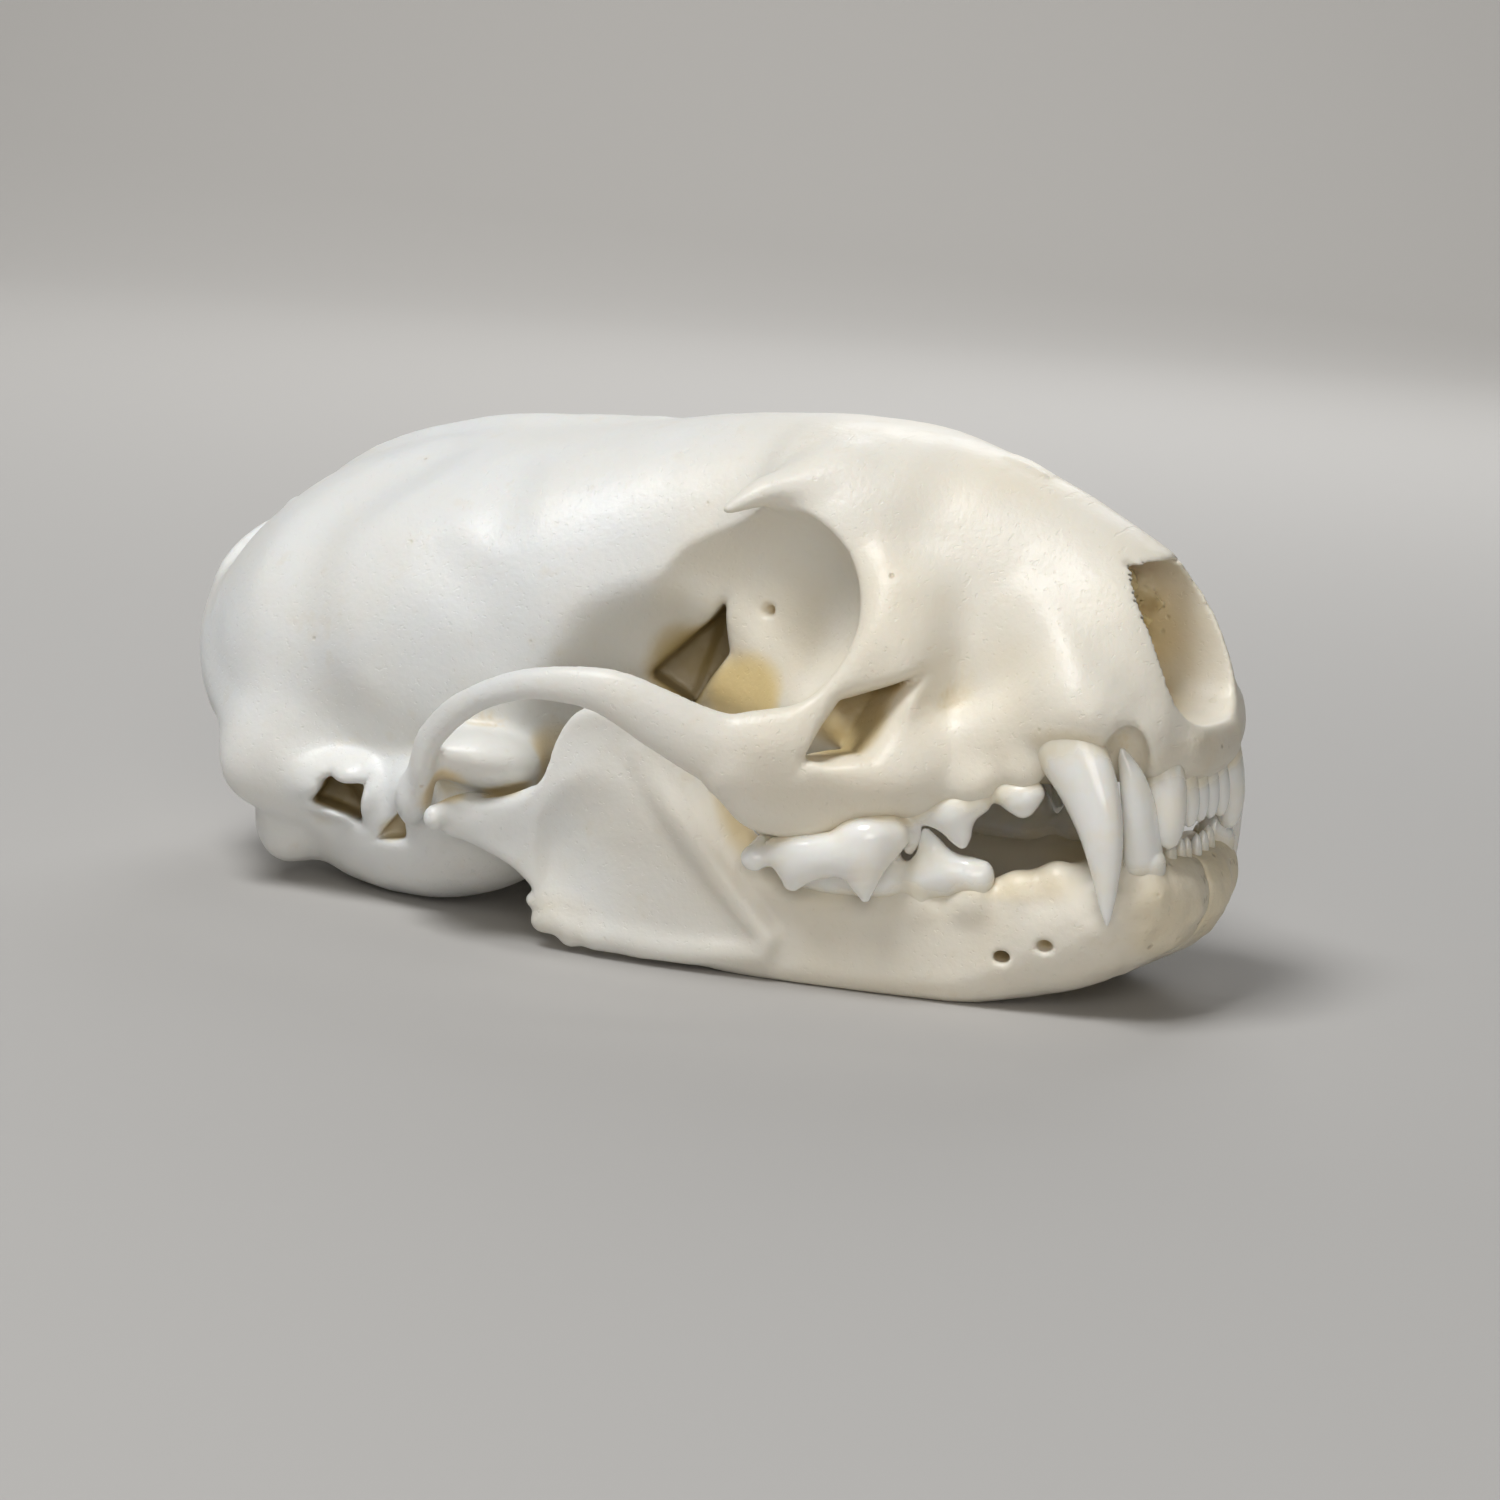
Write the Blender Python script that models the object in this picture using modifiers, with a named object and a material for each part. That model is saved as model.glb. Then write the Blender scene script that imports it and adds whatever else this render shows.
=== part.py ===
"""Weasel skull with its lower jaw shut, life size, resting on the belly of the jaw and on the ear capsules.

The cranium is modelled whole, from lofts, ellipsoids and swept bars that are joined, blended and then parted by
thin cuts into braincase, face, cheek arches and ear capsules. Each half of the lower jaw is a body of its own.
Teeth are joined to the bone that they grow from. The nose points to -Y, the animal's right is -X and +Z is up.
Sizes are in millimetres and become metres through MM when a mesh is made.
"""

import math

import bmesh
import bpy
import numpy as np
from mathutils import Euler, Matrix, Vector

MM = 0.001

# Driving dimensions: height of the forehead, half widths of braincase, brow and snout, and half the width between
# the centre lines of the cheek arches
FOREHEAD = 19.3
HALF_BRAINCASE = 9.7
HALF_BROW = 5.1
HALF_SNOUT = 4.4
HALF_ARCH = 12.4

# Gap kept between neighbouring nodes, the grid and passes of smoothing that blend joined pieces, and the triangles
# that the bones are thinned to
NODE_GAP = 0.3
CRANIUM_GRID = 0.3
CRANIUM_PASSES = 6
CRANIUM_TRIANGLES = 7400
JAW_GRID = 0.28
JAW_PASSES = 5
JAW_TRIANGLES = 1500

# The skull is drawn round the middle of its hinge and teeth. This moves it so that its box is centred on the origin.
LENGTH_SHIFT = 1.8

BONE_COLOUR = (0.86, 0.82, 0.72, 1.0)
BONE_ROUGHNESS = 0.45

# Sections of the cranium from the incisor bone back to the nape:
# y, half width, bottom, height of the widest line, top, roundness above and below (2 is an ellipse)
CRANIUM_SECTIONS = (
    (-22.1, 2.2, 8.6, 9.4, 11.0, 2.0, 2.0),
    (-21.4, 3.3, 8.4, 9.6, 13.4, 2.1, 2.2),
    (-20.3, 4.0, 8.1, 9.8, 15.3, 2.1, 2.3),
    (-18.8, HALF_SNOUT, 7.9, 10.0, 16.4, 2.0, 2.4),
    (-16.5, 4.6, 7.4, 10.2, 17.5, 1.9, 2.4),
    (-14.0, 4.9, 6.9, 11.0, FOREHEAD - 0.9, 2.0, 2.4),
    (-11.0, HALF_BROW, 6.3, 12.5, FOREHEAD - 0.2, 2.2, 2.4),
    (-8.0, HALF_BROW, 5.8, 13.8, FOREHEAD, 2.5, 2.4),
    (-5.0, HALF_BROW, 5.2, 13.0, FOREHEAD - 0.1, 2.3, 2.3),
    (-2.0, 6.2, 4.6, 11.8, 18.9, 2.1, 2.3),
    (1.0, 7.9, 4.0, 10.8, 18.35, 2.0, 2.3),
    (5.0, HALF_BRAINCASE - 0.5, 3.5, 10.0, 17.7, 2.0, 2.4),
    (9.0, HALF_BRAINCASE, 3.2, 9.3, 17.1, 2.0, 2.5),
    (13.0, HALF_BRAINCASE - 0.3, 3.1, 8.6, 15.9, 2.0, 2.5),
    (15.6, 8.1, 3.3, 8.2, 14.3, 2.0, 2.4),
    (17.4, 6.3, 4.0, 8.0, 12.4, 2.0, 2.3),
    (18.5, 3.8, 5.4, 8.2, 10.6, 2.0, 2.0),
)

# Centre lines of the right side's bars: x, y, z, half thickness, half height
ARCH_ROWS = (
    (-7.2, -11.6, 8.2, 1.3, 1.6),
    (-8.6, -10.2, 8.3, 1.1, 1.6),
    (-9.9, -8.3, 8.5, 0.95, 1.45),
    (-11.0, -6.4, 9.4, 0.85, 1.25),
    (-11.8, -4.6, 10.2, 0.8, 1.0),
    (0.1 - HALF_ARCH, -2.6, 10.25, 0.8, 0.85),
    (-HALF_ARCH, -0.6, 9.75, 0.8, 0.8),
    (0.2 - HALF_ARCH, 1.2, 8.75, 0.8, 0.8),
    (-11.7, 2.6, 7.4, 0.85, 0.85),
    (-11.0, 3.3, 5.9, 1.0, 1.0),
    (-9.9, 3.9, 5.0, 1.5, 1.2),
    (-8.3, 4.4, 5.0, 1.7, 1.4),
)
SOCKET_RIM_ROWS = (
    (-8.6, -10.3, 9.3, 0.6, 0.8),
    (-7.7, -11.5, 10.8, 0.6, 0.7),
    (-6.8, -12.3, 12.4, 0.7, 0.7),
    (-6.0, -12.2, 14.1, 0.8, 0.8),
    (-5.1, -11.2, 15.8, 0.9, 0.9),
)
POSTORBITAL_ROWS = (
    (-3.2, -8.4, 17.9, 1.0, 1.0),
    (-4.9, -7.6, 17.5, 0.75, 0.65),
    (-6.2, -6.8, 17.0, 0.5, 0.42),
    (-7.2, -6.1, 16.4, 0.3, 0.28),
)
TOOTH_RIDGE_ROWS = (
    (-3.7, -20.5, 10.0, 0.9, 1.1),
    (-4.3, -18.9, 10.4, 1.35, 1.8),
    (-4.6, -16.8, 9.6, 1.05, 1.5),
    (-5.2, -14.8, 8.7, 1.1, 1.4),
    (-6.4, -12.6, 7.7, 1.4, 1.6),
    (-7.2, -10.6, 6.8, 1.3, 1.5),
    (-7.0, -8.9, 6.2, 1.1, 1.2),
)
CHEEK_FOOT_ROWS = (
    (-9.6, -8.7, 7.7, 0.7, 1.1),
    (-8.9, -9.4, 6.7, 0.75, 1.1),
    (-7.7, -10.4, 6.4, 0.9, 1.0),
)
NAPE_CREST_ROWS = (
    (0.0, 18.2, 12.8, 0.45, 0.5),
    (-2.2, 18.3, 11.9, 0.45, 0.5),
    (-4.6, 17.9, 10.2, 0.45, 0.55),
    (-6.8, 16.0, 8.1, 0.45, 0.6),
    (-8.4, 14.0, 6.1, 0.5, 0.7),
    (-9.2, 12.6, 4.7, 0.6, 0.8),
)
MIDDLE_CREST_ROWS = (
    (0.0, -1.0, 18.3, 0.5, 0.5),
    (0.0, 4.0, 17.6, 0.5, 0.55),
    (0.0, 9.0, 16.9, 0.5, 0.6),
    (0.0, 14.0, 15.3, 0.5, 0.6),
    (0.0, 18.0, 13.0, 0.45, 0.5),
)
PTERYGOID_ROWS = (
    (-2.6, -7.0, 5.6, 0.7, 1.0),
    (-2.4, -4.0, 5.0, 0.5, 1.1),
    (-2.3, -1.5, 4.2, 0.4, 1.0),
    (-2.5, 0.4, 3.1, 0.35, 0.5),
)

# Opening of the nose, laid out like the sections of the cranium
NOSE_SECTIONS = (
    (-25.0, 2.6, 10.4, 12.9, 15.6, 3.0, 3.0),
    (-19.5, 2.6, 10.4, 12.9, 15.7, 3.0, 3.0),
    (-17.6, 2.1, 10.9, 13.0, 15.3, 2.4, 2.4),
    (-16.4, 1.1, 12.0, 13.2, 14.4, 2.0, 2.0),
)
NERVE_ROWS = (
    (-10.8, -12.9, 9.3, 0.8, 0.85),
    (-8.2, -11.5, 9.15, 0.75, 0.8),
    (-6.4, -9.4, 9.6, 0.9, 1.0),
)

BULLA_CENTRE = (-5.6, 6.9, 3.7)
BULLA_RADII = (3.5, 7.4, 3.8)
BULLA_TURN = (4, 0, -8)

# Sections of the right half of the lower jaw, from the chin back to the neck of the joint:
# y, middle x, half width, bottom, top
JAW_SECTIONS = (
    (-22.5, -0.6, 1.7, 3.4, 5.3),
    (-21.9, -0.9, 2.6, 2.5, 5.6),
    (-20.8, -1.1, 3.2, 1.6, 5.7),
    (-19.4, -1.5, 3.3, 0.9, 5.5),
    (-17.9, -3.0, 2.2, 0.4, 5.0),
    (-16.0, -4.3, 1.3, 0.0, 4.4),
    (-14.0, -5.0, 1.2, -0.15, 4.0),
    (-12.0, -5.6, 1.15, -0.2, 3.7),
    (-10.0, -6.2, 1.1, -0.2, 3.6),
    (-8.2, -6.8, 1.0, -0.1, 4.7),
    (-6.6, -7.4, 0.85, 0.1, 6.4),
    (-5.1, -8.0, 0.7, 0.25, 8.2),
    (-3.8, -8.4, 0.6, 0.5, 9.0),
    (-2.6, -8.7, 0.5, 0.55, 9.1),
    (-1.6, -8.9, 0.45, 0.7, 8.7),
    (-1.0, -9.0, 0.45, 1.0, 7.7),
    (-0.6, -9.1, 0.5, 1.9, 6.3),
    (0.3, -9.3, 0.55, 2.7, 5.4),
    (1.4, -9.7, 0.65, 3.3, 5.1),
    (2.4, -10.0, 0.6, 3.8, 5.0),
)
JAW_ANGLE_ROWS = (
    (-8.2, -4.4, 0.9, 0.5, 0.7),
    (-8.8, -2.4, 0.85, 0.55, 0.6),
    (-9.2, -0.9, 1.1, 0.5, 0.45),
)
JAW_JOINT_ROWS = (
    (-8.4, 2.15, 4.55, 0.45, 0.5),
    (-9.6, 2.4, 4.6, 0.6, 0.65),
    (-11.4, 2.6, 4.5, 0.45, 0.5),
)

# Teeth of the right side of the skull, from the front back.
# A fang: x, y, gum z, tip z, half width across the row, half length along it, how far its tip leans in x and y,
# how late it leans, and how early it narrows
UPPER_FANGS = {
    "i1": (-0.42, -21.75, 8.6, 6.95, 0.36, 0.38, 0.0, -0.3, 1.0, 0.5),
    "i2": (-1.22, -21.7, 8.6, 6.9, 0.38, 0.42, 0.0, -0.3, 1.0, 0.5),
    "i3": (-2.35, -21.35, 9.2, 6.5, 0.5, 0.55, -0.1, -0.5, 1.0, 0.5),
    "canine": (-4.5, -18.95, 9.7, 3.55, 0.82, 1.12, -0.4, -1.85, 1.5, 0.9),
}
LOWER_FANGS = {
    "i1": (-0.42, -21.6, 5.2, 6.3, 0.22, 0.28, 0.0, 0.0, 1.0, 0.5),
    "i2": (-0.95, -21.6, 5.2, 6.35, 0.24, 0.3, 0.0, 0.0, 1.0, 0.5),
    "i3": (-1.6, -21.5, 5.2, 6.4, 0.3, 0.34, 0.0, 0.0, 1.0, 0.5),
    "canine": (-3.2, -21.4, 4.8, 9.75, 0.56, 0.78, -0.5, 0.95, 12.0, 0.5),
}
# A blade: rear end x and y, front end x and y, gum z, half width, then the biting edge as pairs of the share of the
# length from the rear end and z
UPPER_BLADES = {
    "p2": ((-4.75, -15.5), (-4.95, -17.95), 8.3, 0.42, ((0.0, 7.9), (0.1, 7.45), (0.45, 7.4), (0.8, 7.1), (1.0, 7.9))),
    "p3": ((-5.9, -13.35), (-5.3, -16.1), 7.6, 0.5, ((0.0, 6.9), (0.12, 6.25), (0.45, 6.2), (0.78, 5.6), (1.0, 7.3))),
    "p4": (
        (-8.35, -9.55),
        (-6.75, -13.8),
        6.4,
        0.75,
        ((0.0, 4.9), (0.2, 3.7), (0.5, 4.5), (0.8, 3.55), (0.93, 5.4), (1.0, 6.2)),
    ),
    "m1": ((-8.6, -9.0), (-5.6, -8.7), 5.6, 0.5, ((0.0, 5.0), (0.2, 4.1), (0.5, 4.6), (0.8, 4.3), (1.0, 5.0))),
}
LOWER_BLADES = {
    "p2": ((-4.2, -17.4), (-3.8, -18.7), 5.0, 0.36, ((0.0, 5.2), (0.5, 5.6), (0.65, 5.8), (1.0, 5.2))),
    "p3": ((-4.7, -15.9), (-4.3, -17.4), 4.5, 0.38, ((0.0, 4.8), (0.5, 5.5), (0.62, 5.7), (1.0, 4.8))),
    "p4": ((-5.85, -13.45), (-5.15, -16.55), 3.8, 0.5, ((0.0, 4.3), (0.12, 5.6), (0.2, 6.1), (0.7, 5.1), (1.0, 4.5))),
    "m1": (
        (-6.55, -9.2),
        (-5.75, -13.4),
        3.5,
        0.55,
        ((0.0, 4.0), (0.25, 4.3), (0.45, 5.6), (0.6, 4.8), (0.8, 5.9), (1.0, 4.4)),
    ),
    "m2": ((-6.8, -8.0), (-6.65, -9.0), 3.4, 0.42, ((0.0, 3.9), (0.5, 4.2), (1.0, 3.9))),
}
LOST_ON_THE_RIGHT = ("p2", "p3")
ROOT_DEPTH = 1.3
FANG_STEPS = (0.0, 0.3, 0.58, 0.8, 0.94, 1.0)
SHORT_FANG_STEPS = (0.0, 0.5, 0.85, 1.0)
TALL_FANG = 3.0
SMALLEST_TIP = 0.14
BLADE_LEVELS = ((0.0, 1.0), (0.45, 0.9), (0.8, 0.55), (1.0, 0.2))

# Boxes that part the cranium into its nodes: lowest and highest corner
FAR = 40.0
ARCH_REGION = (
    ((-14.5, -8.7, 5.6), (-8.35, 0.9, 13.0)),
    ((-14.5, 0.5, 3.4), (-10.1, 6.5, 13.0)),
)
BULLA_REGION = (((-9.2, -1.2, -2.0), (-2.1, 14.6, 3.5)),)
FACE_REGION = (((-FAR, -FAR, -FAR), (FAR, -4.8, FAR)),)
RESTING_NODES = ("mandible_right", "mandible_left", "bulla_right", "bulla_left")


def clear_scene():
    for old in list(bpy.data.objects):
        bpy.data.objects.remove(old)


def bone_material():
    material = bpy.data.materials.new("bone")
    material.use_nodes = True
    shader = material.node_tree.nodes["Principled BSDF"]
    shader.inputs["Base Color"].default_value = BONE_COLOUR
    shader.inputs["Roughness"].default_value = BONE_ROUGHNESS
    shader.inputs["Metallic"].default_value = 0.0
    return material


def object_from(mesh, name):
    body = bpy.data.objects.new(name, mesh)
    bpy.context.scene.collection.objects.link(body)
    return body


def smooth_rows(rows, steps):
    """Catmull-Rom curve through the rows of a table, with steps rows for each gap between two of them."""
    rows = np.asarray(rows, float)
    before = np.vstack([2 * rows[0] - rows[1], rows[:-1]])
    after = np.vstack([rows[1:], 2 * rows[-1] - rows[-2]])
    slopes = (after - before) / 2
    t = np.linspace(0, 1, steps, endpoint=False)[:, None]
    pieces = []
    for a, b, slope_a, slope_b in zip(rows[:-1], rows[1:], slopes[:-1], slopes[1:]):
        pieces.append(
            (2 * t**3 - 3 * t**2 + 1) * a
            + (t**3 - 2 * t**2 + t) * slope_a
            + (3 * t**2 - 2 * t**3) * b
            + (t**3 - t**2) * slope_b
        )
    return np.vstack(pieces + [rows[-1:]])


def loft(name, rings):
    """Closed body through a stack of rings, each an array of points in millimetres with the same count."""
    count, sides, _ = rings.shape
    corners = np.arange(count * sides).reshape(count, sides)
    here, turned = corners, np.roll(corners, -1, axis=1)
    quads = np.stack([here[:-1], turned[:-1], turned[1:], here[1:]], axis=-1).reshape(-1, 4)
    faces = quads.tolist() + [corners[0][::-1].tolist(), corners[-1].tolist()]
    mesh = bpy.data.meshes.new(name)
    mesh.from_pydata((rings.reshape(-1, 3) * MM).tolist(), [], faces)
    shape = bmesh.new()
    shape.from_mesh(mesh)
    bmesh.ops.recalc_face_normals(shape, faces=shape.faces)
    shape.to_mesh(mesh)
    shape.free()
    return object_from(mesh, name)


def bar(name, rows, steps=4, sides=12):
    """Bar swept along a path. Each row is x, y, z, half thickness and half height of an oval section."""
    rows = smooth_rows(rows, steps)
    path, thick, high = rows[:, :3], rows[:, 3:4], rows[:, 4:5]
    along = np.gradient(path, axis=0)
    along /= np.linalg.norm(along, axis=1, keepdims=True)
    up = np.array([0.0, 0.0, 1.0])
    steep = np.abs(along[:, 2:3]) > 0.97
    across = np.where(steep, np.array([[1.0, 0.0, 0.0]]), np.cross(along, up))
    across /= np.linalg.norm(across, axis=1, keepdims=True)
    rise = np.cross(across, along)
    turn = np.linspace(0, 2 * math.pi, sides, endpoint=False)
    rings = (
        path[:, None, :]
        + (thick * across)[:, None, :] * np.cos(turn)[None, :, None]
        + (high * rise)[:, None, :] * np.sin(turn)[None, :, None]
    )
    return loft(name, rings)


def ball(name, centre, radii, turn=(0, 0, 0), segments=32):
    """Ellipsoid with its centre and radii in millimetres, turned by Euler angles in degrees."""
    shape = bmesh.new()
    bmesh.ops.create_uvsphere(shape, u_segments=segments, v_segments=segments // 2, radius=1.0)
    matrix = Euler([math.radians(a) for a in turn]).to_matrix().to_4x4()
    for vertex in shape.verts:
        stretched = Vector([c * r for c, r in zip(vertex.co, radii)])
        vertex.co = (matrix @ stretched + Vector(centre)) * MM
    mesh = bpy.data.meshes.new(name)
    shape.to_mesh(mesh)
    shape.free()
    return object_from(mesh, name)


def block(name, low, high, turn=(0, 0, 0)):
    """Box between two corners in millimetres, turned about its own centre by Euler angles in degrees."""
    shape = bmesh.new()
    bmesh.ops.create_cube(shape, size=1.0)
    low, high = Vector(low), Vector(high)
    matrix = Euler([math.radians(a) for a in turn]).to_matrix()
    for vertex in shape.verts:
        stretched = Vector([c * s for c, s in zip(vertex.co, high - low)])
        vertex.co = (matrix @ stretched + (low + high) / 2) * MM
    mesh = bpy.data.meshes.new(name)
    shape.to_mesh(mesh)
    shape.free()
    return object_from(mesh, name)


def as_mesh(source, name):
    """Closed mesh object in world space from the object as the viewport evaluates it. The source is removed."""
    bpy.context.view_layer.update()
    graph = bpy.context.evaluated_depsgraph_get()
    mesh = bpy.data.meshes.new_from_object(source.evaluated_get(graph))
    mesh.transform(source.matrix_world)
    bpy.data.objects.remove(source)
    shape = bmesh.new()
    shape.from_mesh(mesh)
    bmesh.ops.remove_doubles(shape, verts=shape.verts, dist=0.001 * MM)
    bmesh.ops.recalc_face_normals(shape, faces=shape.faces)
    shape.to_mesh(mesh)
    shape.free()
    mesh.name = name
    return object_from(mesh, name)


def mirrored(source, name):
    """Copy of a body on the other side of the middle plane."""
    mesh = source.data.copy()
    shape = bmesh.new()
    shape.from_mesh(mesh)
    for vertex in shape.verts:
        vertex.co.x = -vertex.co.x
    bmesh.ops.reverse_faces(shape, faces=shape.faces)
    shape.to_mesh(mesh)
    shape.free()
    return object_from(mesh, name)


def both_sides(piece):
    return [piece, mirrored(piece, piece.name + "_other")]


def combine(base, operation, others, solver="EXACT"):
    """One Boolean on a collection of closed bodies, applied. The bodies are removed afterwards."""
    if not others:
        return base
    tools = bpy.data.collections.new("tools")
    for other in others:
        for home in list(other.users_collection):
            home.objects.unlink(other)
        tools.objects.link(other)
    step = base.modifiers.new(operation.lower(), "BOOLEAN")
    step.operation = operation
    step.operand_type = "COLLECTION"
    step.collection = tools
    step.solver = solver
    name = base.name
    result = as_mesh(base, name)
    for other in others:
        bpy.data.objects.remove(other)
    bpy.data.collections.remove(tools)
    return result


def blended(body, grid, passes, triangles):
    """Voxel remesh, smoothing and thinning, so that joined pieces flow into one another like bone."""
    name = body.name
    remesh = body.modifiers.new("blend", "REMESH")
    remesh.mode = "VOXEL"
    remesh.voxel_size = grid * MM
    smooth = body.modifiers.new("smooth", "SMOOTH")
    smooth.factor = 0.5
    smooth.iterations = passes
    body = as_mesh(body, name)
    count = sum(len(face.vertices) - 2 for face in body.data.polygons)
    thin = body.modifiers.new("thin", "DECIMATE")
    thin.ratio = min(1.0, triangles / count)
    return as_mesh(body, name)


def keep_largest(body):
    """Only the largest closed surface of a mesh stays. Faces belong together where an edge has just the two."""
    shape = bmesh.new()
    shape.from_mesh(body.data)
    left = set(shape.faces)
    groups = []
    while left:
        group, border = set(), [left.pop()]
        while border:
            face = border.pop()
            group.add(face)
            for edge in face.edges:
                beside = edge.link_faces if len(edge.link_faces) == 2 else ()
                for other in beside:
                    if other in left:
                        left.remove(other)
                        border.append(other)
        groups.append(group)
    largest = max(groups, key=len)
    spare = [face for face in shape.faces if face not in largest]
    bmesh.ops.delete(shape, geom=spare, context="FACES")
    shape.to_mesh(body.data)
    shape.free()
    return body


def copy_of(body, name):
    return object_from(body.data.copy(), name)


def section_rings(rows, sides=40):
    """Rings of superellipses whose upper and lower halves differ: |x/w|^e + |z/h|^e = 1."""
    turn = np.linspace(0, 2 * math.pi, sides, endpoint=False)
    cosine, sine = np.cos(turn), np.sin(turn)
    rings = []
    for y, width, bottom, middle, top, round_up, round_down in rows:
        power = 2 / np.where(sine >= 0, round_up, round_down)
        height = np.where(sine >= 0, top - middle, middle - bottom)
        x = width * np.sign(cosine) * np.abs(cosine) ** power
        z = middle + height * np.sign(sine) * np.abs(sine) ** power
        rings.append(np.stack([x, np.full(sides, y), z], axis=1))
    return np.array(rings)


def cranium_core():
    return loft("cranium", section_rings(smooth_rows(CRANIUM_SECTIONS, 4)))


def eye_sockets():
    """Hollows beside the frontal bone: the eye socket, and the pit below and behind it."""
    socket = ball("socket", (-9.8, -7.5, 12.3), (6.5, 5.3, 5.3))
    pit = ball("pit", (-8.6, -3.6, 7.4), (5.4, 5.0, 4.0))
    return both_sides(socket) + both_sides(pit)


def cranium_pieces():
    pieces = []
    for name, rows in (
        ("arch", ARCH_ROWS),
        ("socket_rim", SOCKET_RIM_ROWS),
        ("postorbital", POSTORBITAL_ROWS),
        ("tooth_ridge", TOOTH_RIDGE_ROWS),
        ("cheek_foot", CHEEK_FOOT_ROWS),
        ("nape_crest", NAPE_CREST_ROWS),
        ("pterygoid", PTERYGOID_ROWS),
    ):
        pieces += both_sides(bar(name, rows))
    pieces.append(bar("middle_crest", MIDDLE_CREST_ROWS))
    for name, centre, radii, turn in (
        ("bulla", BULLA_CENTRE, BULLA_RADII, BULLA_TURN),
        ("mastoid", (-9.0, 11.8, 4.3), (1.3, 1.9, 1.5), (0, 0, 20)),
        ("glenoid", (-9.3, 3.9, 5.9), (2.4, 1.1, 0.8), (0, 0, 0)),
        ("condyle", (-2.5, 17.5, 4.7), (1.5, 1.4, 1.7), (20, 0, 0)),
        ("paroccipital", (-6.6, 13.4, 2.7), (1.2, 0.9, 1.7), (0, 0, 0)),
        ("cheek_root", (-6.3, -12.4, 8.6), (2.2, 2.6, 2.0), (0, 0, 25)),
    ):
        pieces += both_sides(ball(name, centre, radii, turn))
    return pieces


def cranium_openings():
    """Nose opening, nerve hole below each eye socket, ear holes, and the hole for the spinal cord."""
    nose = loft("nose", section_rings(NOSE_SECTIONS))
    snout = block("snout", (-6, -25.9, 10.4), (6, -20.0, 19.2), (-22, 0, 0))
    cord = ball("cord", (0, 18.6, 6.9), (2.0, 2.4, 1.7))
    nerves = []
    for share in (0.0, 0.5, 1.0):
        lift = [(x + 0.9 * share, y - 1.3 * share, z + 1.3 * share, *radii) for x, y, z, *radii in NERVE_ROWS]
        nerves.append(bar("nerve", lift))
    ear = ball("ear", (-9.6, 8.3, 4.3), (1.6, 0.8, 0.6))
    fissure = ball("fissure", (-4.9, -3.4, 10.6), (1.3, 0.6, 1.7), (0, 25, 0))
    choana = ball("choana", (0, -2.6, 4.6), (1.7, 4.6, 2.0), (8, 0, 0))
    pairs = [copy for piece in nerves + [ear, fissure] for copy in both_sides(piece)]
    return [nose, snout, cord, choana] + pairs


def cranium_whole():
    body = combine(cranium_core(), "DIFFERENCE", eye_sockets())
    body = combine(body, "UNION", cranium_pieces())
    body = combine(body, "DIFFERENCE", cranium_openings())
    return keep_largest(blended(body, CRANIUM_GRID, CRANIUM_PASSES, CRANIUM_TRIANGLES))


def jaw_bone():
    rows = smooth_rows(JAW_SECTIONS, 4)
    turn = np.linspace(0, 2 * math.pi, 24, endpoint=False)
    power = 0.85
    rings = []
    for y, middle, width, bottom, top in rows:
        x = middle + width * np.sign(np.cos(turn)) * np.abs(np.cos(turn)) ** power
        z = (bottom + top) / 2 + (top - bottom) / 2 * np.sign(np.sin(turn)) * np.abs(np.sin(turn)) ** power
        rings.append(np.stack([x, np.full(24, y), z], axis=1))
    jaw = loft("mandible_right", np.array(rings))
    jaw = combine(jaw, "UNION", [bar("angle", JAW_ANGLE_ROWS), bar("joint", JAW_JOINT_ROWS)])
    hollow = ball("hollow", (-9.95, -3.7, 3.9), (1.1, 3.2, 3.0), (0, 0, -12))
    middle = block("middle", (-NODE_GAP / 2, -FAR, -FAR), (FAR, FAR, FAR))
    jaw = combine(jaw, "DIFFERENCE", [hollow])
    jaw = blended(jaw, JAW_GRID, JAW_PASSES, JAW_TRIANGLES)
    return keep_largest(combine(jaw, "DIFFERENCE", [middle]))


def fang(name, sizes, spare=0.0):
    """Pointed crown on level oval rings. At height t their size is (1 - t^2)^taper and they lean by sin(90 t)^bend."""
    x, y, gum, tip, width, length, lean_x, lean_y, bend, taper = sizes
    tall = abs(gum - tip) > TALL_FANG
    sides = 10 if tall else 7
    steps = np.array(FANG_STEPS if tall else SHORT_FANG_STEPS)
    turn = np.linspace(0, 2 * math.pi, sides, endpoint=False)
    heights = [gum + math.copysign(ROOT_DEPTH, gum - tip)] + list(gum + (tip - gum) * steps)
    scales = [0.75] + list(np.maximum((1 - steps**2) ** taper, SMALLEST_TIP))
    shifts = [0.0] + list(np.sin(steps * math.pi / 2) ** bend)
    rings = []
    for height, scale, shift in zip(heights, scales, shifts):
        ring_x = x + lean_x * shift + (width * scale + spare) * np.cos(turn)
        ring_y = y + lean_y * shift + (length * scale + spare) * np.sin(turn)
        rings.append(np.stack([ring_x, ring_y, np.full(sides, height)], axis=1))
    return loft(name, np.array(rings))


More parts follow.
